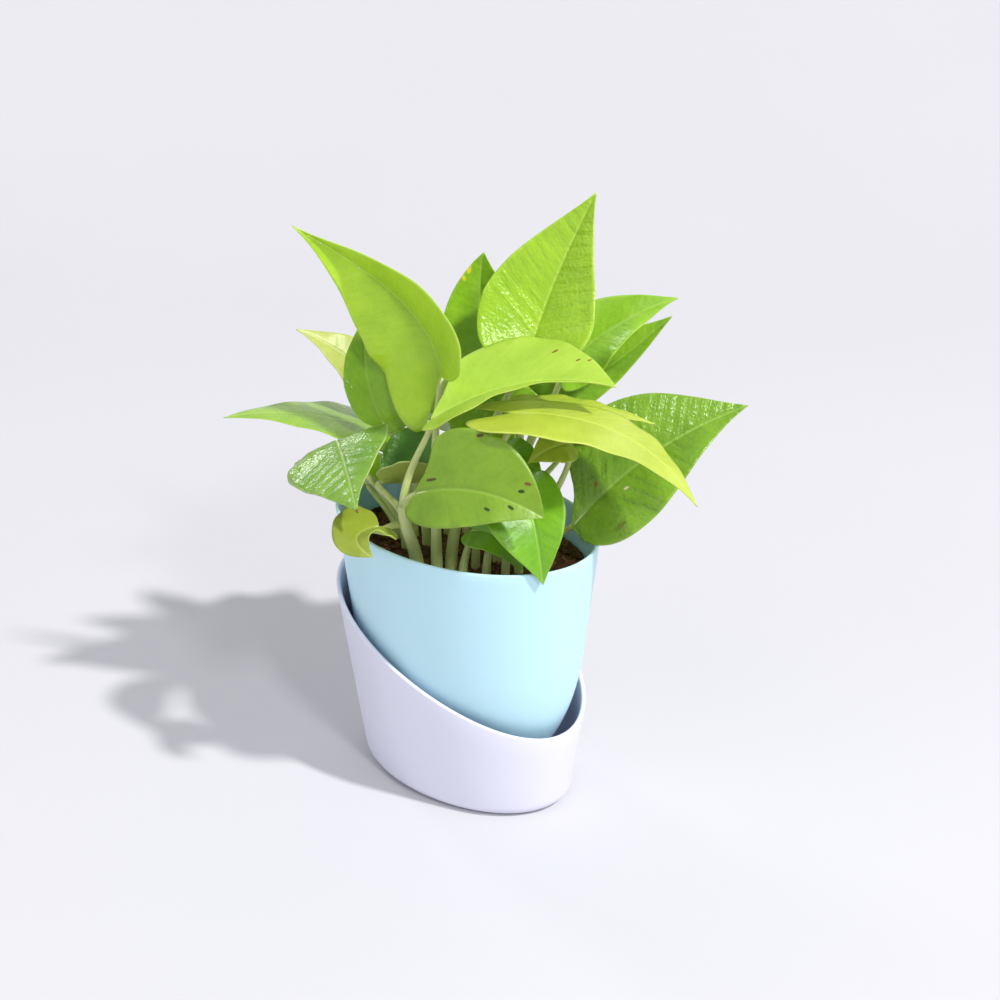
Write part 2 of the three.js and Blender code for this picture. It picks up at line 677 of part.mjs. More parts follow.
function named(name, geometry, material) {
  const mesh = new THREE.Mesh(geometry, material);
  mesh.name = name;
  return mesh;
}

const plant = new THREE.Group();
plant.add(named('outer_cup', outerCup(), finish(0xf4f4f8, 0.35)));
plant.add(named('inner_pot', innerPot(), finish(0xb9e4f2, 0.45)));
plant.add(named('potting_mix', pottingMix(), finish(0x5a3c28, 0.95)));

const foliage = new THREE.Group();
foliage.rotation.z = deg(FOLIAGE_TURN);
for (const leaf of LEAVES) {
  const curve = rootedCurve(leaf.foot, stalkCurve({ ...leaf, foot: [...leaf.foot, SOIL_TOP] }));
  foliage.add(named(leaf.name, geometryOf(leafBody(leaf, curve)), finish(leaf.colour, 0.4)));
}
foliage.add(named(VINE.name, geometryOf(vineSolid(VINE)), finish(VINE.colour, 0.4)));
plant.add(foliage);

export default plant;
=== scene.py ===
# A lime-green pothos growing in a two-part oval self-watering pot.
# Lengths are in millimetres, and turn into metres where a mesh, a lamp or the camera is placed.
import math

import bpy
import numpy as np
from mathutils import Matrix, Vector, noise


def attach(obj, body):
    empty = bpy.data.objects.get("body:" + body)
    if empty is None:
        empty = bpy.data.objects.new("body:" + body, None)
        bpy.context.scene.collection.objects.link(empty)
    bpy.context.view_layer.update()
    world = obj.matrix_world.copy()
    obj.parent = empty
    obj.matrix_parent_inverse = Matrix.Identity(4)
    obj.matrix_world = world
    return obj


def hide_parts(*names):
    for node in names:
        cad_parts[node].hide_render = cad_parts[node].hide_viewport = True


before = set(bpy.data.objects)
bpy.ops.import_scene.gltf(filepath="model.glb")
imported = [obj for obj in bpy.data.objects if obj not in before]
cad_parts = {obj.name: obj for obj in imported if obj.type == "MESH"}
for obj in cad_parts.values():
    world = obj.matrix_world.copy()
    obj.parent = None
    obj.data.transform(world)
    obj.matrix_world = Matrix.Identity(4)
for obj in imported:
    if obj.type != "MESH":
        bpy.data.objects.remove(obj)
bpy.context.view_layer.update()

# The plant is seen from 25 degrees above the pot's rim, over its front left quarter. A 72 mm lens
# draws it from 0.95 m away, so that the far leaves look hardly smaller than the near ones.
MM = 0.001
VIEWER = (-619.1, -599.9, 548.3)
LOOKED_AT = (11.25, -12.07, 146.4)
LENS_LENGTH = 72
FILM_WIDTH = 36

camera = bpy.data.objects.new("viewer", bpy.data.cameras.new("viewer"))
bpy.context.scene.collection.objects.link(camera)
camera.location = Vector(VIEWER) * MM
camera.rotation_euler = (Vector(LOOKED_AT) - Vector(VIEWER)).to_track_quat("-Z", "Y").to_euler()
camera.data.lens = LENS_LENGTH
camera.data.sensor_width = FILM_WIDTH
camera.data.dof.use_dof = False
bpy.context.scene.camera = camera

# A bright studio: one lamp high on the right gives clear shadows on the leaves, a small one in front
# and one behind on the left catch the wax, a wide panel on the left lifts the shaded side, and a pale room
# fills the rest.
VIEWER_TURN = math.radians(-47)
WARM_WHITE = (1.0, 0.985, 0.96)
PLAIN_WHITE = (1.0, 1.0, 1.0)
COOL_WHITE = (0.9, 0.93, 1.0)
ROOM_TINT = (0.86, 0.865, 0.89, 1)
ROOM_LIGHT = 0.62


def lamp(name, place, aim, size, watts, tint):
    light = bpy.data.objects.new(name, bpy.data.lights.new(name, "AREA"))
    bpy.context.scene.collection.objects.link(light)
    light.location = Vector(place) * MM
    light.rotation_euler = (Vector(aim) - Vector(place)).to_track_quat("-Z", "Y").to_euler()
    light.data.shape = "DISK"
    light.data.size = size * MM
    light.data.energy = watts
    light.data.color = tint


def toward_viewer(right, near, up):
    """A place given as the viewer sees it: to the right, toward the viewer and up, in the part's frame."""
    return (right * math.cos(VIEWER_TURN) + near * math.sin(VIEWER_TURN),
            right * math.sin(VIEWER_TURN) - near * math.cos(VIEWER_TURN), up)


lamp("key_lamp", toward_viewer(3500, 2500, 5500), (0, 0, 160), 420, 410, WARM_WHITE)
lamp("front_lamp", toward_viewer(533, 1143, 1145), (0, 0, 200), 200, 7, PLAIN_WHITE)
lamp("back_lamp", toward_viewer(-1500, -1900, 1500), (0, 0, 160), 500, 8, PLAIN_WHITE)
lamp("fill_panel", toward_viewer(-2600, 1800, 1600), (0, 0, 120), 2400, 14, COOL_WHITE)

room = bpy.data.worlds.new("pale_room")
room.use_nodes = True
room.node_tree.nodes["Background"].inputs["Color"].default_value = ROOM_TINT
room.node_tree.nodes["Background"].inputs["Strength"].default_value = ROOM_LIGHT
bpy.context.scene.world = room
bpy.context.scene.view_settings.view_transform = "Standard"

# The pot stands on a plain pale tabletop of smooth painted board. Far behind the plant the board bends
# up in one wide curve, so that no edge shows.
FLOOR_HALF = 4000
SWEEP_START = 700
SWEEP_RADIUS = 1500
SWEEP_STEPS = 32
BOARD_TOP = 3600


def linear(colour):
    """An sRGB hex colour such as 'f4f4f8' as linear RGBA."""
    parts = [int(colour[i:i + 2], 16) / 255 for i in (0, 2, 4)]
    return tuple(c / 12.92 if c <= 0.04045 else ((c + 0.055) / 1.055) ** 2.4 for c in parts) + (1.0,)


def add_node(tree, kind, sockets=None, **settings):
    """One node with its settings. Each socket gets a value or a link from another node's output."""
    added = tree.nodes.new(kind)
    for name, value in settings.items():
        setattr(added, name, value)
    for name, value in (sockets or {}).items():
        if isinstance(value, bpy.types.NodeSocket):
            tree.links.new(value, added.inputs[name])
        else:
            added.inputs[name].default_value = value
    return added


def new_material(name):
    """An empty material with its output, ready for one surface shader."""
    material = bpy.data.materials.new(name)
    material.use_nodes = True
    tree = material.node_tree
    tree.nodes.clear()
    return material, tree, tree.nodes.new("ShaderNodeOutputMaterial")


def mesh_object(name, points, faces, materials, smooth=True):
    """A piece from points in millimetres and faces."""
    mesh = bpy.data.meshes.new(name)
    mesh.from_pydata((np.asarray(points, float) * MM).tolist(), [], faces)
    for material in materials:
        mesh.materials.append(material)
    mesh.polygons.foreach_set("use_smooth", [smooth] * len(mesh.polygons))
    piece = bpy.data.objects.new(name, mesh)
    bpy.context.scene.collection.objects.link(piece)
    return piece


painted_board, tree, out = new_material("painted_board")
# Matt paint on smooth board: a pale grey with no shine, and the faintest clouds about 300 mm wide.
place = add_node(tree, "ShaderNodeTexCoord").outputs["Object"]
cloud = add_node(tree, "ShaderNodeTexNoise", {"Vector": place, "Scale": 3.0, "Detail": 2.0})
tone = add_node(tree, "ShaderNodeMix", {
    "Factor": cloud.outputs["Fac"], "A": linear("c9c9ce"), "B": linear("cdcdd2")}, data_type="RGBA")
board = add_node(tree, "ShaderNodeBsdfPrincipled", {
    "Base Color": tone.outputs["Result"], "Roughness": 0.8, "Specular IOR Level": 0.2})
tree.links.new(board.outputs["BSDF"], out.inputs["Surface"])

profile = [(-FLOOR_HALF, 0)]
for step in range(SWEEP_STEPS + 1):
    bend = math.pi / 2 * step / SWEEP_STEPS
    profile.append((SWEEP_START + SWEEP_RADIUS * math.sin(bend), SWEEP_RADIUS * (1 - math.cos(bend))))
profile.append((SWEEP_START + SWEEP_RADIUS, BOARD_TOP))
points, faces = [], []
for along, up in profile:
    for side in (-FLOOR_HALF, FLOOR_HALF):
        points.append(toward_viewer(side, -along, up))
for i in range(len(profile) - 1):
    faces.append((2 * i, 2 * i + 1, 2 * i + 3, 2 * i + 2))
floor = mesh_object("tabletop", points, faces, [painted_board])

# White outer cup: injection-moulded polypropylene, 2.2 mm thick, with a rounded foot and a slanted lip
# with a soft edge. It holds the water and carries the inner pot.
SIDES = 160
OVAL_STRETCH = 20.5
CUP_HALF = 39.5
CUP_FLARE = 0.14
CUP_WALL = 2.2
CUP_FLOOR = 3
CUP_EDGE = 6
CUP_CORNER = 4
LIP_MIDDLE = 74.5
LIP_SLOPE = 0.395
LIP_BULGE = 0.0008
LIP_ROUNDS = 8
# The shallow recess under the foot: how far in from the foot's edge, and how high.
RECESS_EDGE = ((5, 0.7), (4, 0.05), (3.6, 0))
WALL_SHARES = (0.75, 0.5, 0.25)
EDGE_STEPS = 10
LIP_STEPS = 8
ANGLES = np.arange(SIDES) * 2 * math.pi / SIDES
QUARTER_TURN = [math.pi / 2 * step / EDGE_STEPS for step in range(EDGE_STEPS + 1)]
HALF_TURN = [math.pi * step / LIP_STEPS for step in range(LIP_STEPS + 1)]


def oval_ring(half, height):
    """An oval ring: half is its half width along X, and along Y it reaches further. Both values may
    change from one point of the ring to the next."""
    level = np.zeros(SIDES) + height
    return np.stack([half * np.cos(ANGLES), (half + OVAL_STRETCH) * np.sin(ANGLES), level], 1)


def ring_body(name, rings, material):
    """A closed body of rings from the underside's middle to the top's middle."""
    points = [rings[0].mean(0, keepdims=True)] + list(rings) + [rings[-1].mean(0, keepdims=True)]
    points = np.concatenate(points)
    last = len(points) - 1
    top = 1 + (len(rings) - 1) * SIDES
    faces = []
    for side in range(SIDES):
        following = (side + 1) % SIDES
        faces.append((0, 1 + following, 1 + side))
        for base in range(1, top, SIDES):
            faces.append((base + side, base + following, base + SIDES + following, base + SIDES + side))
        faces.append((last, top + side, top + following))
    return mesh_object(name, points, faces, [material])


def cup_ring(inset, below_lip):
    """A ring on the flared wall, inset from its outside, a given way below the slanted lip. The lip's
    height and the oval's size there hang on each other, so they are found in a few rounds."""
    height = LIP_MIDDLE
    for _ in range(LIP_ROUNDS):
        y = (CUP_HALF + OVAL_STRETCH + CUP_FLARE * height) * np.sin(ANGLES)
        height = LIP_MIDDLE + LIP_SLOPE * y - LIP_BULGE * y * y
    height = height - below_lip
    return oval_ring(CUP_HALF + CUP_FLARE * height - inset, height)


def moulded_plastic(name, colour, roughness, glow, radius):
    """Moulded polypropylene: the dye runs through it, so thin walls glow a little, and the fine texture
    of the mould breaks its reflections into a soft sheen."""
    material, tree, out = new_material(name)
    place = add_node(tree, "ShaderNodeTexCoord").outputs["Object"]
    # The mould's grain is about 0.6 mm wide, and the flow of the melt leaves clouds about 60 mm wide.
    grain = add_node(tree, "ShaderNodeTexNoise", {"Vector": place, "Scale": 1800.0, "Detail": 2.0})
    flow = add_node(tree, "ShaderNodeTexNoise", {"Vector": place, "Scale": 18.0, "Detail": 3.0})
    dull = add_node(tree, "ShaderNodeMapRange", {
        "Value": flow.outputs["Fac"], "To Min": roughness - 0.04, "To Max": roughness + 0.06})
    bump = add_node(tree, "ShaderNodeBump", {
        "Height": grain.outputs["Fac"], "Strength": 0.05, "Distance": 0.0002})
    shade = add_node(tree, "ShaderNodeMapRange", {
        "Value": flow.outputs["Fac"], "To Min": 0.985, "To Max": 1.01})
    tone = add_node(tree, "ShaderNodeHueSaturation", {
        "Color": linear(colour), "Value": shade.outputs["Result"]})
    body = add_node(tree, "ShaderNodeBsdfPrincipled", {
        "Base Color": tone.outputs["Color"], "Roughness": dull.outputs["Result"], "IOR": 1.49,
        "Subsurface Weight": glow, "Subsurface Radius": radius, "Subsurface Scale": 0.002,
        "Normal": bump.outputs["Normal"]})
    tree.links.new(body.outputs["BSDF"], out.inputs["Surface"])
    return material


# Nearly white, with a clear satin shine. Its faint lilac grey is painted shade, standing in for the cool
# shade on the cup's front.
white_polypropylene = moulded_plastic("white_polypropylene", "dedeee", 0.32, 0.25, (1.0, 0.95, 1.0))

cup_rings = [oval_ring(CUP_HALF - CUP_EDGE - inset, height) for inset, height in RECESS_EDGE]
for bend in QUARTER_TURN:
    height = CUP_EDGE * (1 - math.cos(bend))
    cup_rings.append(oval_ring(CUP_HALF - CUP_EDGE * (1 - math.sin(bend)) + CUP_FLARE * height, height))
lip_radius = CUP_WALL / 2
wall = oval_ring(CUP_HALF + CUP_FLARE * CUP_EDGE, CUP_EDGE)
lip = cup_ring(0, lip_radius)
cup_rings += [wall * share + lip * (1 - share) for share in WALL_SHARES]
for bend in HALF_TURN:
    cup_rings.append(cup_ring(lip_radius * (1 - math.cos(bend)), lip_radius * (1 - math.sin(bend))))
wall = oval_ring(CUP_HALF - CUP_WALL + CUP_FLARE * CUP_EDGE, CUP_FLOOR + CUP_CORNER)
lip = cup_ring(CUP_WALL, lip_radius)
cup_rings += [wall * (1 - share) + lip * share for share in WALL_SHARES]
for bend in reversed(QUARTER_TURN):
    height = CUP_FLOOR + CUP_CORNER * (1 - math.cos(bend))
    inset = CUP_WALL + CUP_EDGE * (1 - math.sin(bend))
    cup_rings.append(oval_ring(CUP_HALF - inset + CUP_FLARE * height, height))
cup = ring_body("cup_shell", cup_rings, white_polypropylene)
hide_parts("outer_cup")
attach(cup, "root")

# Light blue inner pot: injection-moulded polypropylene, 2 mm thick, with a fine satin surface. It stands
# in the cup on a hollow wicking foot, and its lower part is rounded like a bowl.
POT_HEIGHT = 137.5
POT_HALF = 51.6
POT_FLARE = 0.113
POT_WALL = 2
POT_RIM_RADIUS = 0.9
WALL_HEIGHTS = (90, 105, 120, 132)
BOWL_TOP = 76
BOWL_BOTTOM = 20
BOWL_INSET = 24
BOWL_STEPS = 22
WICK_HALF = 11
WICK_WALL = 2
WICK_JOIN = 0.5
# The foot's rounded lower edge: how far in, and how high.
WICK_EDGE = ((1, 0), (0.3, 0.3), (0, 1))
GAP = 0.3


def pot_half(height):
    """Half the pot's outer width along X at a height."""
    straight = POT_HALF - POT_FLARE * (POT_HEIGHT - height)
    if height >= BOWL_TOP:
        return straight
    drop = (BOWL_TOP - height) / (BOWL_TOP - BOWL_BOTTOM)
    return straight - BOWL_INSET * (1 - math.sqrt(max(0.0, 1 - drop * drop)))


# A pale sky blue that lets some light through, a little duller than the cup.
blue_polypropylene = moulded_plastic("blue_polypropylene", "c0e6f3", 0.42, 0.35, (0.55, 0.9, 1.0))

bowl_heights = [BOWL_TOP - (BOWL_TOP - BOWL_BOTTOM) * math.sin(math.pi / 2 * step / BOWL_STEPS)
                for step in range(BOWL_STEPS, -1, -1)]
wick_bottom = CUP_FLOOR + GAP
pot_rings = [oval_ring(WICK_HALF - inset, wick_bottom + height) for inset, height in WICK_EDGE]
pot_rings.append(oval_ring(WICK_HALF, BOWL_BOTTOM - WICK_JOIN))
pot_rings += [oval_ring(pot_half(height), height) for height in (*bowl_heights, *WALL_HEIGHTS)]
for bend in HALF_TURN:
    inset = POT_RIM_RADIUS * (1 - math.cos(bend))
    height = POT_HEIGHT - POT_RIM_RADIUS + POT_RIM_RADIUS * math.sin(bend)
    pot_rings.append(oval_ring(POT_HALF - inset, height))
for height in reversed(WALL_HEIGHTS):
    pot_rings.append(oval_ring(pot_half(height) - POT_WALL, height))
for height in reversed(bowl_heights):
    pot_rings.append(oval_ring(pot_half(height) - POT_WALL, height + POT_WALL))
pot_rings.append(oval_ring(WICK_HALF - WICK_WALL, BOWL_BOTTOM + POT_WALL - WICK_JOIN))
pot_rings.append(oval_ring(WICK_HALF - WICK_WALL, wick_bottom + WICK_WALL))
pot = ring_body("pot_shell", pot_rings, blue_polypropylene)
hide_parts("inner_pot")
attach(pot, "root")

# Potting mix: dark peat with crumbs and reddish coconut husk chips, filled to 17.5 mm below the rim.
# Its skin is lumpy at half a millimetre to 3 mm, and small chips of husk lie loose on it.
SOIL_TOP = 120
SOIL_SIDE = POT_WALL + GAP
SOIL_RINGS = 46
SKIN_SHARE = 0.995
SKIN_DROP = 1.2
CRUMB_SEED = 7
CRUMB_PITCH = 0.32
# Three sizes of lump, as their height and how much finer than the pitch they are.
CRUMB_SIZES = ((1.1, 1), (0.7, 2.7), (0.4, 6.1))
CHIPS = 420
CHIP_SPREAD = 0.93
CHIP_LONG = (1.0, 3.0)
CHIP_WIDE = (0.5, 1.3)
CHIP_THICK = (0.3, 0.8)
CHIP_UNEVEN = (0.7, 1.15)
CHIP_TILT = (-0.5, 0.5)
CHIP_LIFT = 0.2

damp_mix, tree, out = new_material("damp_peat_and_husk")
# Damp peat and husk: matt dark brown, in grains about 2.5 mm wide of which some are reddish and a few pale,
# with fibres about 1 mm wide. Patches about 17 mm wide drift to a dark olive, which is painted shade tinted
# green by light through the leaves.
place = add_node(tree, "ShaderNodeTexCoord").outputs["Object"]
lumps = add_node(tree, "ShaderNodeTexVoronoi", {"Vector": place, "Scale": 420.0})
fibre = add_node(tree, "ShaderNodeTexNoise", {"Vector": place, "Scale": 900.0, "Detail": 4.0})
patch = add_node(tree, "ShaderNodeTexNoise", {"Vector": place, "Scale": 60.0, "Detail": 3.0})
earth = add_node(tree, "ShaderNodeValToRGB", {"Fac": lumps.outputs["Color"]})
ramp = earth.color_ramp
ramp.elements[0].color = linear("3a2418")
ramp.elements[1].color = linear("b47c5c")
ramp.elements.new(0.45).color = linear("5e3a28")
ramp.elements.new(0.75).color = linear("8c5038")
# Painted shade: the earth colour drifts in patches toward a green-tinted dark olive.
painted_green_shade = add_node(tree, "ShaderNodeMix", {
    "Factor": patch.outputs["Fac"], "A": earth.outputs["Color"], "B": linear("3a3a1c")}, data_type="RGBA")
bump = add_node(tree, "ShaderNodeBump", {
    "Height": fibre.outputs["Fac"], "Strength": 0.8, "Distance": 0.001})
soil_surface = add_node(tree, "ShaderNodeBsdfPrincipled", {
    "Base Color": painted_green_shade.outputs["Result"], "Roughness": 0.95, "Specular IOR Level": 0.2,
    "Normal": bump.outputs["Normal"]})
tree.links.new(soil_surface.outputs["BSDF"], out.inputs["Surface"])

soil_half = pot_half(SOIL_TOP) - SOIL_SIDE
soil_rings = [oval_ring(WICK_HALF - WICK_WALL - GAP, CUP_FLOOR + WICK_WALL + 2 * GAP),
              oval_ring(WICK_HALF - WICK_WALL - GAP, BOWL_BOTTOM + POT_WALL)]
for height in bowl_heights[1:]:
    soil_rings.append(oval_ring(pot_half(height) - SOIL_SIDE, height + SOIL_SIDE))
soil_rings.append(oval_ring(soil_half, SOIL_TOP - 2))


def crumb(x, y):
    """Height of the mix's skin over its level, in millimetres."""
    spot = Vector((x * CRUMB_PITCH, y * CRUMB_PITCH, CRUMB_SEED))
    return sum(height * noise.noise(spot * finer) for height, finer in CRUMB_SIZES)


# The skin's outermost ring lies lower, where the mix has drawn away from the wall.
for step in range(SOIL_RINGS):
    ring = oval_ring(soil_half, SOIL_TOP)
    ring[:, :2] *= (1 - step / SOIL_RINGS) * SKIN_SHARE
    ring[:, 2] += [crumb(x, y) - (SKIN_DROP if step == 0 else 0) for x, y, _ in ring]
    soil_rings.append(ring)
mix = ring_body("peat_bed", soil_rings, damp_mix)
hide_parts("potting_mix")
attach(mix, "root")

CHIP_CORNERS = np.array([(-1, -1, -1), (1, -1, -1), (1, 1, -1), (-1, 1, -1),
                         (-1, -1, 1), (1, -1, 1), (1, 1, 1), (-1, 1, 1)], float)
CHIP_FACES = ((0, 3, 2, 1), (4, 5, 6, 7), (0, 1, 5, 4), (1, 2, 6, 5), (2, 3, 7, 6), (3, 0, 4, 7))
dice = np.random.default_rng(CRUMB_SEED)
points, faces = [], []
for _ in range(CHIPS):
    angle = dice.uniform(0, 2 * math.pi)
    share = math.sqrt(dice.uniform(0, CHIP_SPREAD))
    x = soil_half * math.cos(angle) * share
    y = (soil_half + OVAL_STRETCH) * math.sin(angle) * share
    sizes = (dice.uniform(*CHIP_LONG), dice.uniform(*CHIP_WIDE), dice.uniform(*CHIP_THICK))
    corners = CHIP_CORNERS * sizes * dice.uniform(*CHIP_UNEVEN, (8, 3))
    tilt = dice.uniform(*CHIP_TILT)
    spin = dice.uniform(0, math.pi)
    tilted = corners @ np.array([[math.cos(tilt), 0, math.sin(tilt)], [0, 1, 0],
                                 [-math.sin(tilt), 0, math.cos(tilt)]])
    turned = tilted @ np.array([[math.cos(spin), math.sin(spin), 0], [-math.sin(spin), math.cos(spin), 0],
                                [0, 0, 1]])
    start = len(points)
    points += (turned + (x, y, SOIL_TOP + crumb(x, y) + CHIP_LIFT)).tolist()
    faces += [tuple(start + corner for corner in face) for face in CHIP_FACES]
# The chips are cut flakes, so their faces stay flat.
chips = mesh_object("husk_chips", points, faces, [damp_mix], smooth=False)
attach(chips, "root")

# Tall leaves at the top: living pothos blades, waxy above and dull below, on long round stalks that rise
# from the mix. Each is one blade folded along its midrib, with the side veins sunk between low quilts.
BLADE_WIDE = 0.22
BLADE_LOBE = 0.2
BLADE_POINT = 0.17
BLADE_THICK = 0.55
NOTCH = 0.03
LOBE_ROWS, SIDE_ROWS = 4, 5
FINE_ROWS = 90
FINE_COLUMNS = 16
COLUMN_EASE = 1.25
CURVE_POINTS = 400
SMALL_STEP = 1e-3
NOTCH_DROP = 0.012
NOTCH_LIFT = 0.008
VEIN_SLANT = 0.55
VEIN_CLEAR = 0.0004
VEIN_STEP = 0.002
QUILT = 0.08
RIPPLE = 0.5
RIPPLE_COUNT = 5.3
RIPPLE_SHIFT = 1.7
EDGE_THINNING = 0.35
# The midrib's keel below and its groove above: depth, depth left at the tip, and half width.
KEEL = (0.9, 0.25, 0.9)
GROOVE = (0.4, 0.12, 0.7)
KEEL_STEPS = 8
KEEL_RUN = (0.015, 0.16)
KEEL_SINK = 0.75
KEEL_END_RADIUS = 0.3
# The knee below the blade: how much the stalk swells there, where along it, and over what share of it.
KNEE_SWELL, KNEE_AT, KNEE_SHARE = 0.35, 0.93, 0.05
STALK_FOOT_RADIUS = 2.1
STALK_NECK_RADIUS = 1.2
STALK_DEPTH = 14
STALK_SIDES = 14
STALK_STEPS = 40
STALK_SHORT = 2.2
STALK_BEND = 0.4
JOIN_LIFT = 0.5
JOIN_AHEAD = 0.3
JOIN_REACH = 0.58
VEIN_SPACING = 6.5
STALK_CORD = 0.9
LEAF_GLOW = 0.3


def living_leaf(name, fresh, shade, vein, gloss=0.24, ribs=0.35, pebble=0.3, rim=0.25, marks=()):
    """Waxy living leaf: two greens drift into each other, veins and margin are paler, and the ribs and fine
    cells under the wax break its shine. marks are spots on it as (from the midrib, along it, half width,
    half length, colour), in millimetres."""
    material, tree, out = new_material(name)
    place = add_node(tree, "ShaderNodeTexCoord").outputs["Object"]
    blade_map = add_node(tree, "ShaderNodeUVMap", uv_map="blade_mm").outputs["UV"]
    share_map = add_node(tree, "ShaderNodeUVMap", uv_map="blade_share").outputs["UV"]
    # Tone drifts over about 15 mm, mottles at 2.4 mm, and streaks 2.5 mm wide follow the side veins.
    drift = add_node(tree, "ShaderNodeTexNoise", {"Vector": place, "Scale": 65.0, "Detail": 3.0})
    mottle = add_node(tree, "ShaderNodeTexNoise", {"Vector": place, "Scale": 420.0, "Detail": 4.0})
    run = add_node(tree, "ShaderNodeVectorMath", {0: blade_map, 1: (0.08, 0.4, 0.0)}, operation="MULTIPLY")
    streak = add_node(tree, "ShaderNodeTexNoise", {
        "Vector": run.outputs["Vector"], "Scale": 1.0, "Detail": 3.0})
    drifted = add_node(tree, "ShaderNodeMath", {
        0: mottle.outputs["Fac"], 1: 0.35, 2: drift.outputs["Fac"]}, operation="MULTIPLY_ADD")
    mixed = add_node(tree, "ShaderNodeMath", {
        0: streak.outputs["Fac"], 1: 0.3, 2: drifted.outputs["Value"]}, operation="MULTIPLY_ADD")
    patch = add_node(tree, "ShaderNodeMapRange", {
        "Value": mixed.outputs["Value"], "From Min": 0.65, "From Max": 1.05})
    green = add_node(tree, "ShaderNodeMix", {
        "Factor": patch.outputs["Result"], "A": linear(fresh), "B": linear(shade)}, data_type="RGBA")
    # Side veins leave the midrib at even steps. The midrib is about 1.5 mm wide, and the margin 1 mm.
    parts = add_node(tree, "ShaderNodeSeparateXYZ", {"Vector": blade_map})
    steps = add_node(tree, "ShaderNodeMath", {
        0: parts.outputs["Y"], 1: 1 / VEIN_SPACING}, operation="MULTIPLY")
    wave = add_node(tree, "ShaderNodeMath", {0: steps.outputs["Value"], 1: 0.5}, operation="PINGPONG")
    side_vein = add_node(tree, "ShaderNodeMapRange", {
        "Value": wave.outputs["Value"], "From Min": 0.0, "From Max": 0.08, "To Min": 0.09, "To Max": 0.0})
    width = add_node(tree, "ShaderNodeMath", {0: parts.outputs["X"]}, operation="ABSOLUTE")
    midrib = add_node(tree, "ShaderNodeMapRange", {
        "Value": width.outputs["Value"], "From Min": 0.35, "From Max": 0.9, "To Min": 0.55, "To Max": 0.0})
    side_share = add_node(tree, "ShaderNodeSeparateXYZ", {"Vector": share_map})
    outward = add_node(tree, "ShaderNodeMath", {0: side_share.outputs["X"]}, operation="ABSOLUTE")
    margin = add_node(tree, "ShaderNodeMapRange", {
        "Value": outward.outputs["Value"], "From Min": 0.955, "From Max": 0.985, "To Max": rim})
    inner_veins = add_node(tree, "ShaderNodeMath", {
        0: midrib.outputs["Result"], 1: side_vein.outputs["Result"]}, operation="MAXIMUM")
    veins = add_node(tree, "ShaderNodeMath", {
        0: inner_veins.outputs["Value"], 1: margin.outputs["Result"]}, operation="MAXIMUM")
    veined = add_node(tree, "ShaderNodeMix", {
        "Factor": veins.outputs["Value"], "A": green.outputs["Result"], "B": linear(vein)}, data_type="RGBA")
    colour = veined.outputs["Result"]
    for x, y, half_wide, half_long, spot in marks:
        local = add_node(tree, "ShaderNodeVectorMath", {0: blade_map, 1: (x, y, 0)}, operation="SUBTRACT")
        scaled = add_node(tree, "ShaderNodeVectorMath", {
            0: local.outputs["Vector"], 1: (1 / half_wide, 1 / half_long, 0)}, operation="MULTIPLY")
        reach = add_node(tree, "ShaderNodeVectorMath", {0: scaled.outputs["Vector"]}, operation="LENGTH")
        rough = add_node(tree, "ShaderNodeMath", {
            0: mottle.outputs["Fac"], 1: 0.5, 2: reach.outputs["Value"]}, operation="MULTIPLY_ADD")
        inside = add_node(tree, "ShaderNodeMapRange", {
            "Value": rough.outputs["Value"], "From Min": 1.1, "From Max": 1.35,
            "To Min": 1.0, "To Max": 0.0})
        stained = add_node(tree, "ShaderNodeMix", {
            "Factor": inside.outputs["Result"], "A": colour, "B": linear(spot)}, data_type="RGBA")
        colour = stained.outputs["Result"]
    # The skin swells between the side veins, and cells about 1.6 mm wide, coarser than life, pebble it.
    swell = add_node(tree, "ShaderNodeMath", {
        0: wave.outputs["Value"], 1: 0.5, 2: streak.outputs["Fac"]}, operation="MULTIPLY_ADD")
    ribbed = add_node(tree, "ShaderNodeBump", {
        "Height": swell.outputs["Value"], "Strength": ribs, "Distance": 0.0006})
    cells = add_node(tree, "ShaderNodeTexVoronoi", {"Vector": place, "Scale": 620.0})
    relief = add_node(tree, "ShaderNodeMath", {
        0: cells.outputs["Distance"], 1: 0.6, 2: mottle.outputs["Fac"]}, operation="MULTIPLY_ADD")
    skin_bump = add_node(tree, "ShaderNodeBump", {
        "Height": relief.outputs["Value"], "Strength": pebble, "Distance": 0.0004,
        "Normal": ribbed.outputs["Normal"]})
    wax = add_node(tree, "ShaderNodeMapRange", {
        "Value": drift.outputs["Fac"], "To Min": gloss - 0.04, "To Max": gloss + 0.1})
    skin = add_node(tree, "ShaderNodeBsdfPrincipled", {
        "Base Color": colour, "Roughness": wax.outputs["Result"], "IOR": 1.47,
        "Subsurface Weight": LEAF_GLOW, "Subsurface Radius": (1.0, 0.9, 0.3), "Subsurface Scale": 0.0015,
        "Normal": skin_bump.outputs["Normal"]})
    tree.links.new(skin.outputs["BSDF"], out.inputs["Surface"])
    return material


def of_half(value, usual, side):
    """A value given once for both halves of a blade, or as (left, right). side is -1 for left."""
    value = usual if value is None else value
    return value if not isinstance(value, (tuple, list)) else value[0 if side < 0 else 1]


def bezier(points, share):
    """Points on a Bezier curve at shares from 0 to 1."""
    level = [np.asarray(p, float)[None, :] for p in points]
    share = np.asarray(share, float)[:, None]
    while len(level) > 1:
        level = [a * (1 - share) + b * share for a, b in zip(level, level[1:])]
    return level[0]


def unit(v):
    return v / np.linalg.norm(v, axis=-1, keepdims=True)


def even_curve(points, share):
    """Places and directions on a Bezier curve at shares of its length, and that length."""
    fine = np.linspace(0, 1, CURVE_POINTS)
    lengths = np.linalg.norm(np.diff(bezier(points, fine), axis=0), axis=1)
    run = np.concatenate([[0], np.cumsum(lengths)])
    at = np.interp(np.asarray(share) * run[-1], run, fine)
    after = bezier(points, np.clip(at + SMALL_STEP, 0, 1))
    ahead = after - bezier(points, np.clip(at - SMALL_STEP, 0, 1))
    return bezier(points, at), unit(ahead), run[-1]


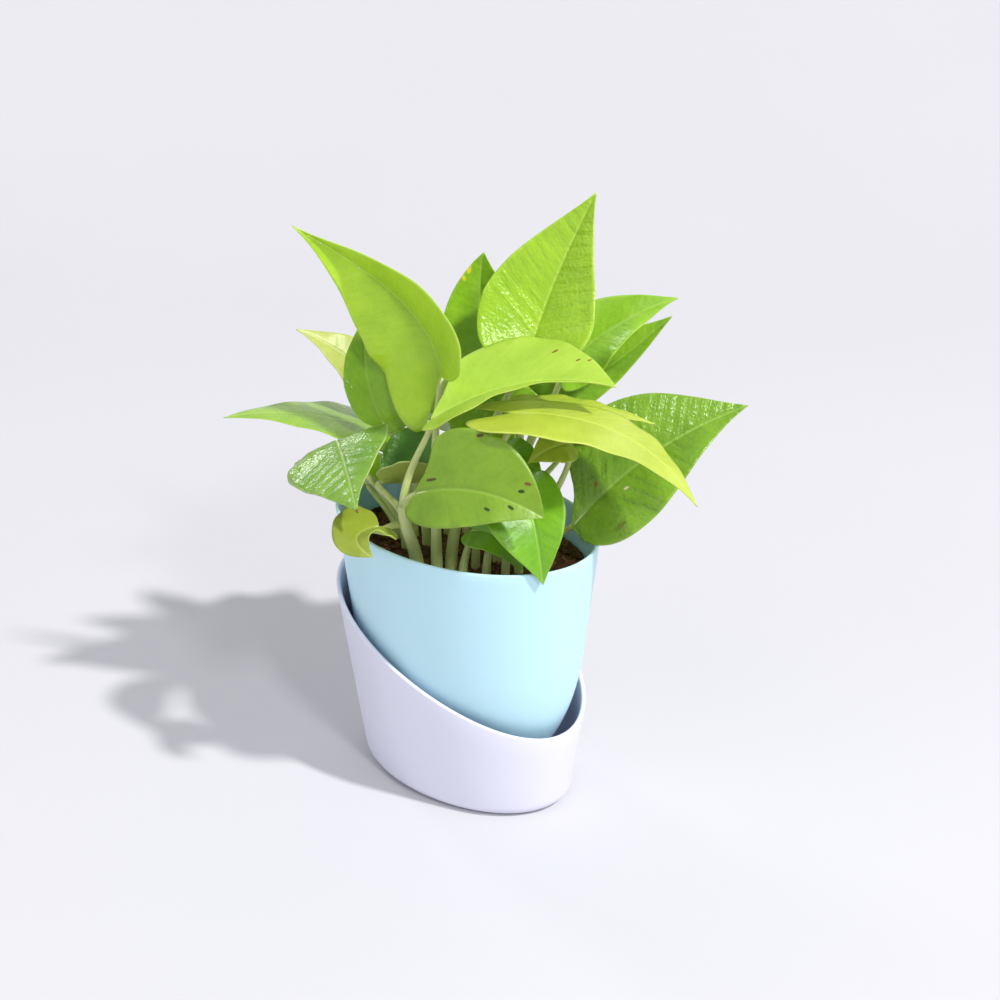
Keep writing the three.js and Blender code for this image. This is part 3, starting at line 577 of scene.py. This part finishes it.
def half_outline(leaf, side, rows):
    """Edge of one half from the notch at its stalk to its tip: x in widths, y in lengths."""
    wide = of_half(leaf.get("wide"), BLADE_WIDE, side)
    lobe = of_half(leaf.get("lobe"), BLADE_LOBE, side)
    point = of_half(leaf.get("point"), BLADE_POINT, side)
    lower = bezier([(0.03, -0.02), (0.14, -lobe), (0.5, -0.5 * lobe), (0.5, wide)],
                   np.clip(rows / LOBE_ROWS, 0, 1))
    upper = bezier([(0.5, wide), (0.5, wide + 0.24), (point, 0.72 + 0.3 * (wide - BLADE_WIDE)), (0, 1)],
                   np.clip((rows - LOBE_ROWS) / SIDE_ROWS, 0, 1))
    return np.where((rows <= LOBE_ROWS)[:, None], lower, upper)


def facing(face, ahead):
    """The way the upper side of a blade looks, square to its midrib."""
    turn, lift = math.radians(face[0]), math.radians(face[1])
    way = np.array([math.sin(turn) * math.cos(lift), -math.cos(turn) * math.cos(lift), math.sin(lift)])
    return unit(way - (ahead @ way)[:, None] * ahead)


def blade_points(leaf):
    """The middle sheet of a blade, in rows from the notch to the tip and columns from left to right: its
    points, how far each lies from the midrib and along it, the tip, and the midrib's length."""
    rows = np.linspace(0, LOBE_ROWS + SIDE_ROWS, FINE_ROWS + 1)[:-1]
    columns = np.linspace(0, 1, FINE_COLUMNS + 1) ** COLUMN_EASE
    rib = [leaf["neck"], leaf["bend"], leaf["tip"]]
    length = even_curve(rib, [0.0])[2]
    outlines = {side: half_outline(leaf, side, rows) for side in (1, -1)}
    # The notch is cut to a V between the two edge points that lie one main row from the stalk.
    start = FINE_ROWS // (LOBE_ROWS + SIDE_ROWS)
    for edge in outlines.values():
        edge[0] = (NOTCH, -NOTCH_DROP + (edge[start, 1] - NOTCH_LIFT) * NOTCH / edge[start, 0])
        between = np.linspace(0, 1, start + 1)[:, None]
        edge[:start + 1] = edge[0] * (1 - between) + edge[start] * between
    slant = VEIN_SLANT * leaf["width"] / length
    mean = sum(edge[:, 1] - slant * edge[:, 0] for edge in outlines.values()) / 2
    # A side vein leaves the midrib before its edge point, and keeps clear of the edge point before it.
    roots = np.full(len(rows), -NOTCH_DROP)
    for row in range(1, len(rows)):
        clear = [mean[row]]
        for edge in outlines.values():
            before, here = edge[row - 1], edge[row]
            if here[0] > before[0]:
                ratio = before[0] / here[0]
                clear.append((before[1] - here[1] * ratio) / (1 - ratio) + VEIN_CLEAR)
        limit = 0.9 + 0.1 * row / len(rows)
        roots[row] = min(limit, max(roots[row - 1] + VEIN_STEP, *clear))
    share = rows / (LOBE_ROWS + SIDE_ROWS)
    halves = {}
    for side in (1, -1):
        x, y = outlines[side].T
        width = leaf["width"] * (leaf.get("right" if side > 0 else "left") or 1)
        fold = math.radians(leaf["fold"][1 if side > 0 else 0])
        along = roots[:, None] + (y - roots)[:, None] * columns
        reach = x[:, None] * columns * width
        wave = (leaf.get("wave", 0) * columns ** 2 * np.sin(math.pi * share)[:, None]
                * np.sin(2 * math.pi * (2 * share + (0.5 if side < 0 else 0)))[:, None])
        # Between the side veins the blade swells a little, most of all halfway to its edge.
        swell = leaf.get("quilt", QUILT) * np.sin(math.pi * columns)
        beat = np.abs(np.sin(math.pi * (roots * length)[:, None] / VEIN_SPACING))
        # Its edge ripples, and settles toward the notch and the tip.
        ripple = np.sin(2 * math.pi * RIPPLE_COUNT * share + RIPPLE_SHIFT * side) * np.sin(math.pi * share)
        ripple = RIPPLE * columns ** 3 * ripple[:, None]
        at = np.clip(along, 0, 1)
        centre, ahead, _ = even_curve(rib, at.ravel())
        out = facing(leaf["face"], ahead)
        lift = (reach * math.sin(fold) + wave + ripple + swell * beat).ravel()[:, None]
        spot = (centre + ahead * (np.minimum(along, 0) * length).ravel()[:, None]
                + np.cross(ahead, out) * (side * reach * math.cos(fold)).ravel()[:, None] + out * lift)
        halves[side] = (spot.reshape(len(rows), len(columns), 3), side * reach,
                        np.broadcast_to((roots * length)[:, None], reach.shape))
    joined = [np.concatenate([halves[-1][k][:, :0:-1], halves[1][k]], axis=1) for k in range(3)]
    return joined[0], joined[1], joined[2], np.asarray(leaf["tip"], float), length


def tube(places, radii, across, start_index):
    """A round tube along places, closed at both ends: its points and its faces, numbered from
    start_index on."""
    ahead = unit(np.gradient(places, axis=0))
    points, faces = [places[0]], []
    sideways = np.asarray(across, float)
    for place, radius, way in zip(places, radii, ahead):
        sideways = unit(sideways - way * (sideways @ way))
        upward = np.cross(sideways, way)
        for side in range(STALK_SIDES):
            angle = 2 * math.pi * side / STALK_SIDES
            points.append(place + radius * (sideways * math.cos(angle) - upward * math.sin(angle)))
    points.append(places[-1])
    first = start_index + 1
    last = first + (len(places) - 1) * STALK_SIDES
    for side in range(STALK_SIDES):
        following = (side + 1) % STALK_SIDES
        faces.append((start_index, first + following, first + side))
        for near in range(first, last, STALK_SIDES):
            far = near + STALK_SIDES
            faces.append((near + side, near + following, far + following, far + side))
        faces.append((last + STALK_SIDES, last + side, last + following))
    return points, faces


def stalk_places(leaf, foot):
    """A stalk leaves its root upright and joins the blade from its underside, a little from behind."""
    neck = np.asarray(leaf["neck"], float)
    _, ahead, _ = even_curve([leaf["neck"], leaf["bend"], leaf["tip"]], [0.0])
    out = facing(leaf["face"], ahead)[0]
    join = unit(JOIN_LIFT * out + JOIN_AHEAD * ahead[0])
    reach = np.linalg.norm(neck - foot) * STALK_BEND
    arrive = np.asarray(leaf.get("arrive", neck - join * reach * JOIN_REACH), float)
    return [foot, foot + (0, 0, reach), arrive, neck - join * STALK_SHORT], ahead[0], out


def leaf_parts(leaf, start, rooted=True):
    """Points, faces, face materials and blade maps of one leaf: upper skin 0, underside 1, stalk 2."""
    middle, across, along, tip, length = blade_points(leaf)
    rows, columns = middle.shape[:2]
    flat = np.concatenate([middle.reshape(-1, 3), tip[None]])
    at = np.arange(rows * columns).reshape(rows, columns)
    a, b, c, d = at[:-1, :-1], at[:-1, 1:], at[1:, 1:], at[1:, :-1]
    quads = np.stack([a, b, c, d], -1).reshape(-1, 4)
    caps = np.stack([at[-1, :-1], at[-1, 1:], np.full(columns - 1, rows * columns)], -1)
    normals = np.zeros_like(flat)
    for corners in (quads[:, (0, 1, 2)], quads[:, (0, 2, 3)], caps):
        first, second, third = (flat[corners[:, k]] for k in range(3))
        face = np.cross(second - first, third - first)
        for k in range(3):
            np.add.at(normals, corners[:, k], face)
    normals = unit(normals)
    # The blade thins to its edge, and the midrib stands out below and is a groove above.
    sides = np.linspace(-1, 1, columns)[None].repeat(rows, 0)
    span = np.concatenate([np.abs(sides).ravel(), [1.0]])
    thick = BLADE_THICK / 2 * (1 - EDGE_THINNING * span ** 4)
    off = np.concatenate([np.abs(across).ravel(), [np.inf]])
    share = np.concatenate([(along / length).ravel(), [1.0]])
    keel, groove = ((depth * (1 - share) + tip_depth) * np.exp(-(off / half_wide) ** 2)
                    for depth, tip_depth, half_wide in (KEEL, GROOVE))
    top = flat + normals * (thick - groove)[:, None]
    under = flat - normals * (thick + keel)[:, None]
    count = len(flat)
    points = list(top) + list(under)
    faces = [tuple(f) for f in quads.tolist() + caps.tolist()]
    faces += [tuple(count + i for i in reversed(f)) for f in faces]
    slots = [0] * (len(faces) // 2) + [1] * (len(faces) // 2)
    edge = list(at[0]) + list(at[1:, -1]) + [rows * columns] + list(at[::-1][:-1, 0])
    for i, here in enumerate(edge):
        following = edge[(i + 1) % len(edge)]
        faces.append((int(here), int(count + here), int(count + following), int(following)))
        slots.append(1)
    maps = np.stack([across.ravel(), along.ravel(), sides.ravel(), (along / length).ravel()], 1)
    maps = np.concatenate([maps, [[0, length, 0, 1]]])
    maps = np.concatenate([maps, maps])
    foot = np.array([*leaf["foot"], SOIL_TOP], float) if rooted else np.asarray(leaf["foot"], float)
    curve, ahead, out = stalk_places(leaf, foot)
    places = even_curve(curve, np.linspace(0, 1, STALK_STEPS))[0]
    # The stalk runs on under the blade for a few millimetres, where it becomes the keel of the midrib.
    rib = [leaf["neck"], leaf["bend"], leaf["tip"]]
    middle_line, way, _ = even_curve(rib, np.linspace(*KEEL_RUN, KEEL_STEPS))
    places = np.concatenate([places, middle_line - facing(leaf["face"], way) * KEEL_SINK])
    climb = np.linspace(0, 1, STALK_STEPS)
    foot_radius = leaf.get("stalk", STALK_FOOT_RADIUS)
    radii = foot_radius + (STALK_NECK_RADIUS - foot_radius) * climb
    radii = radii + KNEE_SWELL * np.exp(-((climb - KNEE_AT) / KNEE_SHARE) ** 2)
    radii = np.concatenate([radii, np.linspace(0.8 * STALK_NECK_RADIUS, KEEL_END_RADIUS, KEEL_STEPS)])
    if rooted:
        places = np.concatenate([[foot - (0, 0, STALK_DEPTH)], places])
        radii = np.concatenate([[foot_radius], radii])
    more, more_faces = tube(places, radii, np.cross(ahead, out), len(points))
    stalk_map = np.zeros((len(more), 4))
    stalk_map[1:-1, 0] = np.tile(np.arange(STALK_SIDES), len(places)) * STALK_CORD
    stalk_map[1:-1, 1] = np.repeat(np.arange(len(places)), STALK_SIDES)
    points += more
    faces += more_faces
    slots += [2] * len(more_faces)
    maps = np.concatenate([maps, stalk_map])
    return points, [tuple(start + i for i in f) for f in faces], slots, maps


def leaf_piece(name, node, leaves, skins, stem=([], [])):
    """One piece of one or several leaves, on a stem if one is given, turned from the viewer's frame into
    the part's. skins holds an upper skin and an underside for each leaf, and every stalk is green_stalk."""
    points, faces = list(stem[0]), list(stem[1])
    slots = [2] * len(faces)
    maps = np.zeros((len(points), 4))
    materials = []
    for upper, under in zip(skins[::2], skins[1::2]):
        materials += [upper, under, green_stalk]
    for place, leaf in enumerate(leaves):
        more = leaf_parts(leaf, len(points), rooted=len(leaf["foot"]) == 2)
        points, faces = points + list(more[0]), faces + more[1]
        slots += [3 * place + slot for slot in more[2]]
        maps = np.concatenate([maps, more[3]])
    x, y, z = np.asarray(points).T
    piece = mesh_object(name, np.stack(toward_viewer(x, -y, z), 1), faces, materials)
    piece.data.polygons.foreach_set("material_index", slots)
    corners = np.zeros(len(piece.data.loops), np.int32)
    piece.data.loops.foreach_get("vertex_index", corners)
    for layer, first in (("blade_mm", 0), ("blade_share", 2)):
        values = maps[corners, first:first + 2].astype(np.float32)
        piece.data.uv_layers.new(name=layer).data.foreach_set("uv", values.ravel())
    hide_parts(node)
    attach(piece, "root")


# Young blades are a bright lime green with a clear wax shine, finely pebbled where they are quilted. Their
# undersides are paler and dull, and the stalks are a pale smooth green, made paler still with painted light
# that keeps them bright in the shade among the leaves.
lime_upper = living_leaf("lime_leaf_upper", "aed432", "9ec62a", "c2e05a", gloss=0.15, ribs=0.7, pebble=0.4)
glossy_upper = living_leaf("glossy_leaf_upper", "9cc22c", "8cb426", "bcd85c", gloss=0.14,
                           ribs=1.0, pebble=0.7)
lime_under = living_leaf("lime_leaf_underside", "a8c84c", "98ba44", "bed478", gloss=0.5,
                         ribs=0.3, pebble=0.2)
green_stalk = living_leaf("green_stalk", "d0da94", "bccb78", "d8e0a4", gloss=0.3, ribs=0.25, pebble=0.15)

# A leaf's table gives its stalk's foot and radius, and its midrib's neck, bend and tip, as the viewer sees
# them. face is the way its upper side looks, as turn and lift, and fold lifts its left and right halves.
leaf_piece("tall_left_leaf", "leaf_tall_left", [{
    "foot": (-13, -28), "stalk": 2.9, "neck": (-11, -2, 212), "bend": (-13, 6, 244), "tip": (-77, 2, 281),
    "arrive": (-15, -24, 196), "face": (-42, 15), "width": 68, "fold": (22, 34), "left": 0.86,
    "right": 1.2, "lobe": (0.5, 0.04), "wide": (0.22, 0.13), "point": (0.13, 0.03),
    "quilt": 0.1}], [lime_upper, lime_under])
leaf_piece("tall_right_leaf", "leaf_tall_right", [{
    "foot": (-6.5, -22), "stalk": 3, "neck": (30, -2, 221), "bend": (38, 16, 247), "tip": (60, 11, 294),
    "face": (-14, 15), "width": 66, "fold": (18, 24), "left": 0.88, "right": 0.88, "lobe": 0.16,
    "arrive": (22, 14, 198), "quilt": 0.2}], [glossy_upper, lime_under])

# The leaf that stands behind and between the two tall ones. Its deeper green is partly its own and partly
# painted shade from the tall ones in front. It has two yellow flecks, and its stalk rises behind theirs.

# Darker blades: their deeper green is partly their own and partly painted shade, for leaves that stand in
# the shade of others. They are a little duller, with greyer undersides.
shaded_upper = living_leaf("deep_green_painted_shade_leaf_upper", "8cb82a", "74a41c", "a0c448", marks=(
    (-6.4, 41.4, 1.4, 3.2, "d0c83a"), (-8.6, 35.5, 1.1, 1.3, "d0c83a")))
shaded_under = living_leaf("deep_green_leaf_underside", "88a848", "789a3c", "a4bc70", gloss=0.5,
                           ribs=0.3, pebble=0.2)
leaf_piece("tall_behind_leaf", "leaf_tall_behind", [{
    "foot": (0, 18), "neck": (10, 32, 206), "bend": (5, 40, 238), "tip": (9, 35, 258), "face": (0, 20),
    "width": 42, "fold": (20, 20), "lobe": 0.4, "point": 0.3}], [shaded_upper, shaded_under])

# Leaves on the right: a waved pair high up, a long yellow-green one that arches toward the viewer with
# another behind it, and a large one low down that is quilted between its veins.

# The fresh skins are bright, the yellowed ones dull and smooth, and the broad one shines and is scarred
# by three small marks.
fresh_upper = living_leaf("fresh_leaf_upper", "9cca3e", "86b830", "b4d860", gloss=0.22)
yellow_upper = living_leaf("yellow_leaf_upper", "b6c848", "a8ba3e", "c6d468", gloss=0.3,
                           ribs=0.3, pebble=0.2)
yellow_under = living_leaf("yellow_leaf_underside", "b8c652", "a8b848", "c8d278", gloss=0.5,
                           ribs=0.2, pebble=0.2)
broad_upper = living_leaf("broad_leaf_upper", "7aa42c", "669020", "9cbe58", gloss=0.14, ribs=1.0,
                          pebble=0.8, marks=((-5.5, 16.3, 1.1, 0.9, "a0621e"),
                                             (5.6, 26.7, 0.7, 1.3, "d8c8b4"), (17, 9.3, 1.2, 0.6, "6c8428")))
leaf_piece("right_waved_leaf", "leaf_right_waved", [{
    "foot": (15, -13), "neck": (47, 12, 209), "bend": (68, 12, 234), "tip": (98, 2, 247),
    "face": (10, 40), "width": 52, "fold": (-5, 28), "left": 0.75, "right": 0.64, "wave": 3,
    "arrive": (40, 9, 186)}], [fresh_upper, lime_under])
leaf_piece("right_dark_leaf", "leaf_right_dark", [{
    "foot": (20, 13), "neck": (39, 22, 186), "bend": (70, 24, 203), "tip": (97, 20, 232),
    "face": (15, 40), "width": 46, "fold": (10, 35), "right": 0.6}], [shaded_upper, shaded_under])
leaf_piece("long_yellow_leaf", "leaf_long_yellow", [{
    "foot": (5, -18), "neck": (25, -36, 206), "bend": (79, -43, 209), "tip": (104, -60, 171),
    "face": (160, 84), "width": 52, "fold": (6, -2), "left": 0.68, "right": 1.2, "lobe": 0.42,
    "wide": (0.4, 0.22), "quilt": 0.04}], [yellow_upper, yellow_under])
leaf_piece("yellow_leaf_behind", "leaf_yellow_behind", [{
    "foot": (25, -24), "neck": (27, -9, 200), "bend": (62, -13, 201), "tip": (88, -21, 194),
    "arrive": (27, 0, 176), "face": (180, 88), "width": 24, "fold": (0, 0)}], [yellow_upper, yellow_under])
leaf_piece("large_right_leaf", "leaf_large_right", [{
    "foot": (38, -10), "neck": (51, -24, 145), "bend": (83, -17, 184), "tip": (131, -10, 199),
    "face": (18, 45), "width": 72, "fold": (8, 12), "left": 0.86, "right": 0.7, "lobe": (-0.22, 0.05),
    "wide": (0.4, 0.3), "quilt": 0.35}], [broad_upper, lime_under])

# Leaves on the left: a quilted one whose tip hangs toward the viewer, a level one, one standing inside
# and a pale young one behind.

# The quilted skin shines in small broken patches and has one brown burn, and the pale one is nearly dull.
# The pale one's light green is partly its own and partly painted light, lifted where it lies in shade.
quilted_upper = living_leaf("quilted_leaf_upper", "7ea440", "689230", "a0bc70", gloss=0.14,
                            ribs=1.0, pebble=0.5, rim=0.9, marks=((0, 57, 1.4, 2.4, "8a5420"),))
inner_upper = living_leaf("inner_leaf_upper", "82ae1c", "72a014", "9abe40", gloss=0.2)
level_upper = living_leaf("level_leaf_upper", "8eb630", "7ea626", "a8c858", gloss=0.2)
pale_upper = living_leaf("pale_leaf_upper", "bcc866", "acb858", "ccd48c", gloss=0.35, ribs=0.3, pebble=0.2)
leaf_piece("left_quilted_leaf", "leaf_left_quilted", [{
    "foot": (-29, 3), "neck": (-60, 0, 177), "bend": (-54, -26, 177), "tip": (-47, -54, 165),
    "face": (-66, 72), "width": 56, "fold": (5, -8), "left": 0.9, "lobe": (-0.1, 0.1),
    "wide": (0.12, 0.22), "point": (0.02, 0.17), "quilt": 0.5}], [quilted_upper, shaded_under])
leaf_piece("left_level_leaf", "leaf_left_level", [{
    "foot": (-25, 13), "neck": (-32, 36, 164), "bend": (-78, 28, 186), "tip": (-115, 16, 182),
    "face": (0, 88), "width": 54, "fold": (0, -6)}], [level_upper, lime_under])
leaf_piece("left_inner_leaf", "leaf_left_inner", [{
    "foot": (-19, 5), "neck": (-36, 6, 179), "bend": (-52, 12, 204), "tip": (-44, 20, 236),
    "face": (-15, 20), "width": 54, "fold": (12, 12), "left": 0.42, "right": 0.9, "lobe": (-0.15, 0.05),
    "wide": (0.4, 0.22)}], [inner_upper, shaded_under])
leaf_piece("left_pale_leaf", "leaf_left_pale", [{
    "foot": (-20, 24), "neck": (-37, 46, 182), "bend": (-59, 50, 205), "tip": (-82, 48, 215),
    "face": (-10, 62), "width": 31, "fold": (8, 8), "arrive": (-24, 54, 170)}], [pale_upper, pale_upper])

# Small and half hidden leaves in the middle, in the shade of the others: one hangs over the rim in front
# with a small one behind it, and four lie among the stalks.

# A full green skin with a soft sheen.
hanging_upper = living_leaf("hanging_leaf_upper", "78b024", "669e1a", "94c04c", gloss=0.34)
leaf_piece("hanging_leaf", "leaf_hanging", [{
    "foot": (19, -27), "neck": (28, -42, 169), "bend": (33, -60, 163), "tip": (36, -62, 133),
    "arrive": (25, -27, 160), "face": (5, 15), "width": 42, "fold": (15, 15), "left": 0.75, "right": 1.05,
    "lobe": (0.4, 0.1)}], [hanging_upper, lime_under])
leaf_piece("low_olive_leaf", "leaf_low_olive", [{
    "foot": (-1, -30), "stalk": 2.3, "neck": (4, -30, 145), "bend": (19, -38, 149), "tip": (27, -45, 130),
    "face": (0, 50), "width": 24, "fold": (20, 20)}], [hanging_upper, lime_under])
leaf_piece("small_glossy_leaf", "leaf_small_glossy", [{
    "foot": (-6, 9), "neck": (6, 6, 179), "bend": (-1, 10, 184), "tip": (-6, 10, 196), "face": (0, 30),
    "width": 20, "fold": (10, 10)}], [shaded_upper, shaded_under])
leaf_piece("middle_dark_leaf", "leaf_middle_dark", [{
    "foot": (9, 9), "neck": (25, 16, 178), "bend": (14, 20, 190), "tip": (2, 20, 197), "face": (0, 30),
    "width": 34, "fold": (10, 10)}], [shaded_upper, shaded_under])
leaf_piece("middle_green_leaf", "leaf_middle_green", [{
    "foot": (10, -31), "neck": (18, -20, 175), "bend": (25, -24, 181), "tip": (36, -28, 172),
    "face": (0, 60), "width": 24, "fold": (5, 5)}], [hanging_upper, lime_under])
leaf_piece("middle_yellow_leaf", "leaf_middle_yellow", [{
    "foot": (32, -14), "neck": (49, -27, 187), "bend": (42, -31, 190), "tip": (29, -35, 181),
    "face": (0, 50), "width": 20, "fold": (5, 5), "arrive": (49, -25, 166)}], [yellow_upper, yellow_under])

# Leaves at the back, which hang over the far rim as on any bushy plant. They have the shapes and skins of
# the others, and their stalks rise along the far side of the mix.
leaf_piece("back_left_leaf", "leaf_back_left", [{
    "foot": (-11, 28), "neck": (-8, 60, 160), "bend": (-26, 84, 176), "tip": (-40, 110, 152),
    "face": (190, 60), "width": 56, "fold": (10, 10)}], [lime_upper, lime_under])
leaf_piece("back_middle_leaf", "leaf_back_middle", [{
    "foot": (-1, 30), "neck": (4, 50, 172), "bend": (6, 77, 190), "tip": (2, 108, 166), "face": (180, 55),
    "width": 60, "fold": (12, 12)}], [fresh_upper, lime_under])
leaf_piece("back_right_leaf", "leaf_back_right", [{
    "foot": (13, 29), "neck": (25, 45, 170), "bend": (40, 70, 188), "tip": (50, 100, 165),
    "face": (170, 55), "width": 56, "fold": (10, 10)}], [fresh_upper, lime_under])
leaf_piece("back_far_right_leaf", "leaf_back_far_right", [{
    "foot": (24, 25), "neck": (48, 35, 160), "bend": (75, 50, 172), "tip": (100, 62, 150),
    "face": (130, 65), "width": 52, "fold": (10, 10)}], [fresh_upper, lime_under])
leaf_piece("back_far_left_leaf", "leaf_back_far_left", [{
    "foot": (-33, 14), "neck": (-48, 30, 144), "bend": (-70, 46, 154), "tip": (-88, 60, 134),
    "face": (215, 60), "width": 48, "fold": (10, 10)}], [lime_upper, lime_under])
leaf_piece("back_low_leaf", "leaf_back_low", [{
    "foot": (5, 37), "neck": (5, 56, 142), "bend": (8, 74, 150), "tip": (12, 96, 130), "face": (180, 60),
    "width": 44, "fold": (10, 10)}], [fresh_upper, lime_under])
leaf_piece("back_upper_left_leaf", "leaf_back_upper_left", [{
    "foot": (-9, 18), "neck": (-26, 52, 194), "bend": (-38, 68, 212), "tip": (-50, 84, 216),
    "face": (190, 40), "width": 46, "fold": (12, 12)}], [lime_upper, lime_under])
leaf_piece("back_upper_right_leaf", "leaf_back_upper_right", [{
    "foot": (10, 20), "neck": (30, 46, 207), "bend": (40, 62, 232), "tip": (52, 80, 238),
    "face": (170, 40), "width": 48, "fold": (12, 12)}], [lime_upper, lime_under])

# The thick young vine in front: one green stem that rises from the mix, with four leaves near its top,
# each on its own stalk: an arched one, a bitten one in front, a cupped one and a small curled one.
VINE_FOOT = (-22, -27)
VINE_END = (-28, -30, 158)
VINE_RADIUS = 3.4
VINE_TAPER = 0.75
VINE_STEPS = 30
STEM_RISE = 18
STEM_BEND = 16

# The arched skin is yellow-green with three brown specks. The bitten one is darker, and dark and brown spots
# show where its flesh is gone. The cupped one is a deep green inside a pale margin. That deep green is
# partly its own and partly painted shade, for the shade inside the cup.
arched_upper = living_leaf("arched_leaf_upper", "a8c848", "9abc3c", "b8d460", gloss=0.3, ribs=0.25, marks=(
    (-16.1, 41.9, 1.0, 0.7, "7a4a18"), (-11.6, 57, 0.8, 0.7, "7a4a18"), (-11.9, 61.8, 0.7, 0.6, "7a4a18")))
bitten_upper = living_leaf("bitten_leaf_upper", "7a9e26", "6c901e", "90b044", gloss=0.36, ribs=0.25, marks=(
    (-6, 46.8, 1.0, 1.2, "2c4210"), (2.7, 46.8, 0.8, 1.5, "2c4210"), (7, 34.2, 0.8, 1.6, "2c4210"),
    (-10.2, 45.6, 0.9, 1.4, "6e4c1c"), (-4.8, 7.4, 0.7, 2.0, "4c4416"), (-24.9, 15.2, 0.9, 1.1, "4c3a14")))
cupped_upper = living_leaf("cupped_leaf_painted_shade_inside", "5e9a18", "4c8a10", "7cb034", gloss=0.22, rim=0.8)
cupped_under = living_leaf("cupped_leaf_outside", "a4b454", "94a648", "bcc87c", gloss=0.45, ribs=0.3,
                           rim=0.8)
curled_upper = living_leaf("curled_leaf_upper", "8e9e36", "80902c", "a4b054", gloss=0.34, ribs=0.3)
olive_under = living_leaf("olive_leaf_underside", "a6b848", "96a83c", "bac668", gloss=0.45, ribs=0.3)
base = np.array([*VINE_FOOT, SOIL_TOP], float)
end = np.array(VINE_END, float)
way_up = [base, base + (0, 0, STEM_RISE), end - (0, 0, STEM_BEND), end]
places = even_curve(way_up, np.linspace(0, 1, VINE_STEPS))[0]
places = np.concatenate([[base - (0, 0, STALK_DEPTH)], places])
radii = np.concatenate([[VINE_RADIUS], VINE_RADIUS * np.linspace(1, VINE_TAPER, VINE_STEPS)])
stem = tube(places, radii, (1, 0, 0), 0)
leaf_piece("front_vine", "leafy_stem_front", [
    {"foot": (-28, -30, 156), "neck": (-14, -28, 200), "bend": (28, -18, 223), "tip": (68, -40, 220),
     "face": (10, 74), "width": 60, "fold": (16, 30), "left": 0.88, "right": 0.8, "lobe": (-0.2, 0.14),
     "wide": (0.45, 0.22), "point": (0.28, 0.17), "quilt": 0.04},
    {"foot": (-28, -29, 151), "neck": (-21, -50, 173), "bend": (7, -66, 188), "tip": (36, -72, 171),
     "face": (-5, 32), "width": 50, "fold": (18, 8), "left": 1.1, "right": 0.72, "lobe": (-0.25, 0.2),
     "wide": (0.4, 0.3), "point": (0.33, 0.3), "quilt": 0.04},
    {"foot": (-27, -27, 146), "neck": (-39, -8, 160), "bend": (-20, -4, 157), "tip": (2, -14, 166),
     "face": (0, 60), "width": 52, "fold": (35, 75), "lobe": (0.05, 0.2), "wide": 0.4, "point": 0.3},
    {"foot": (-27, -24, 141), "neck": (-39, -40, 152), "bend": (-56, -58, 156), "tip": (-40, -62, 147),
     "face": (-30, 45), "width": 30, "fold": (8, 8), "right": 1.1}], [
        arched_upper, olive_under, bitten_upper, olive_under,
        cupped_upper, cupped_under, curled_upper, olive_under], stem)
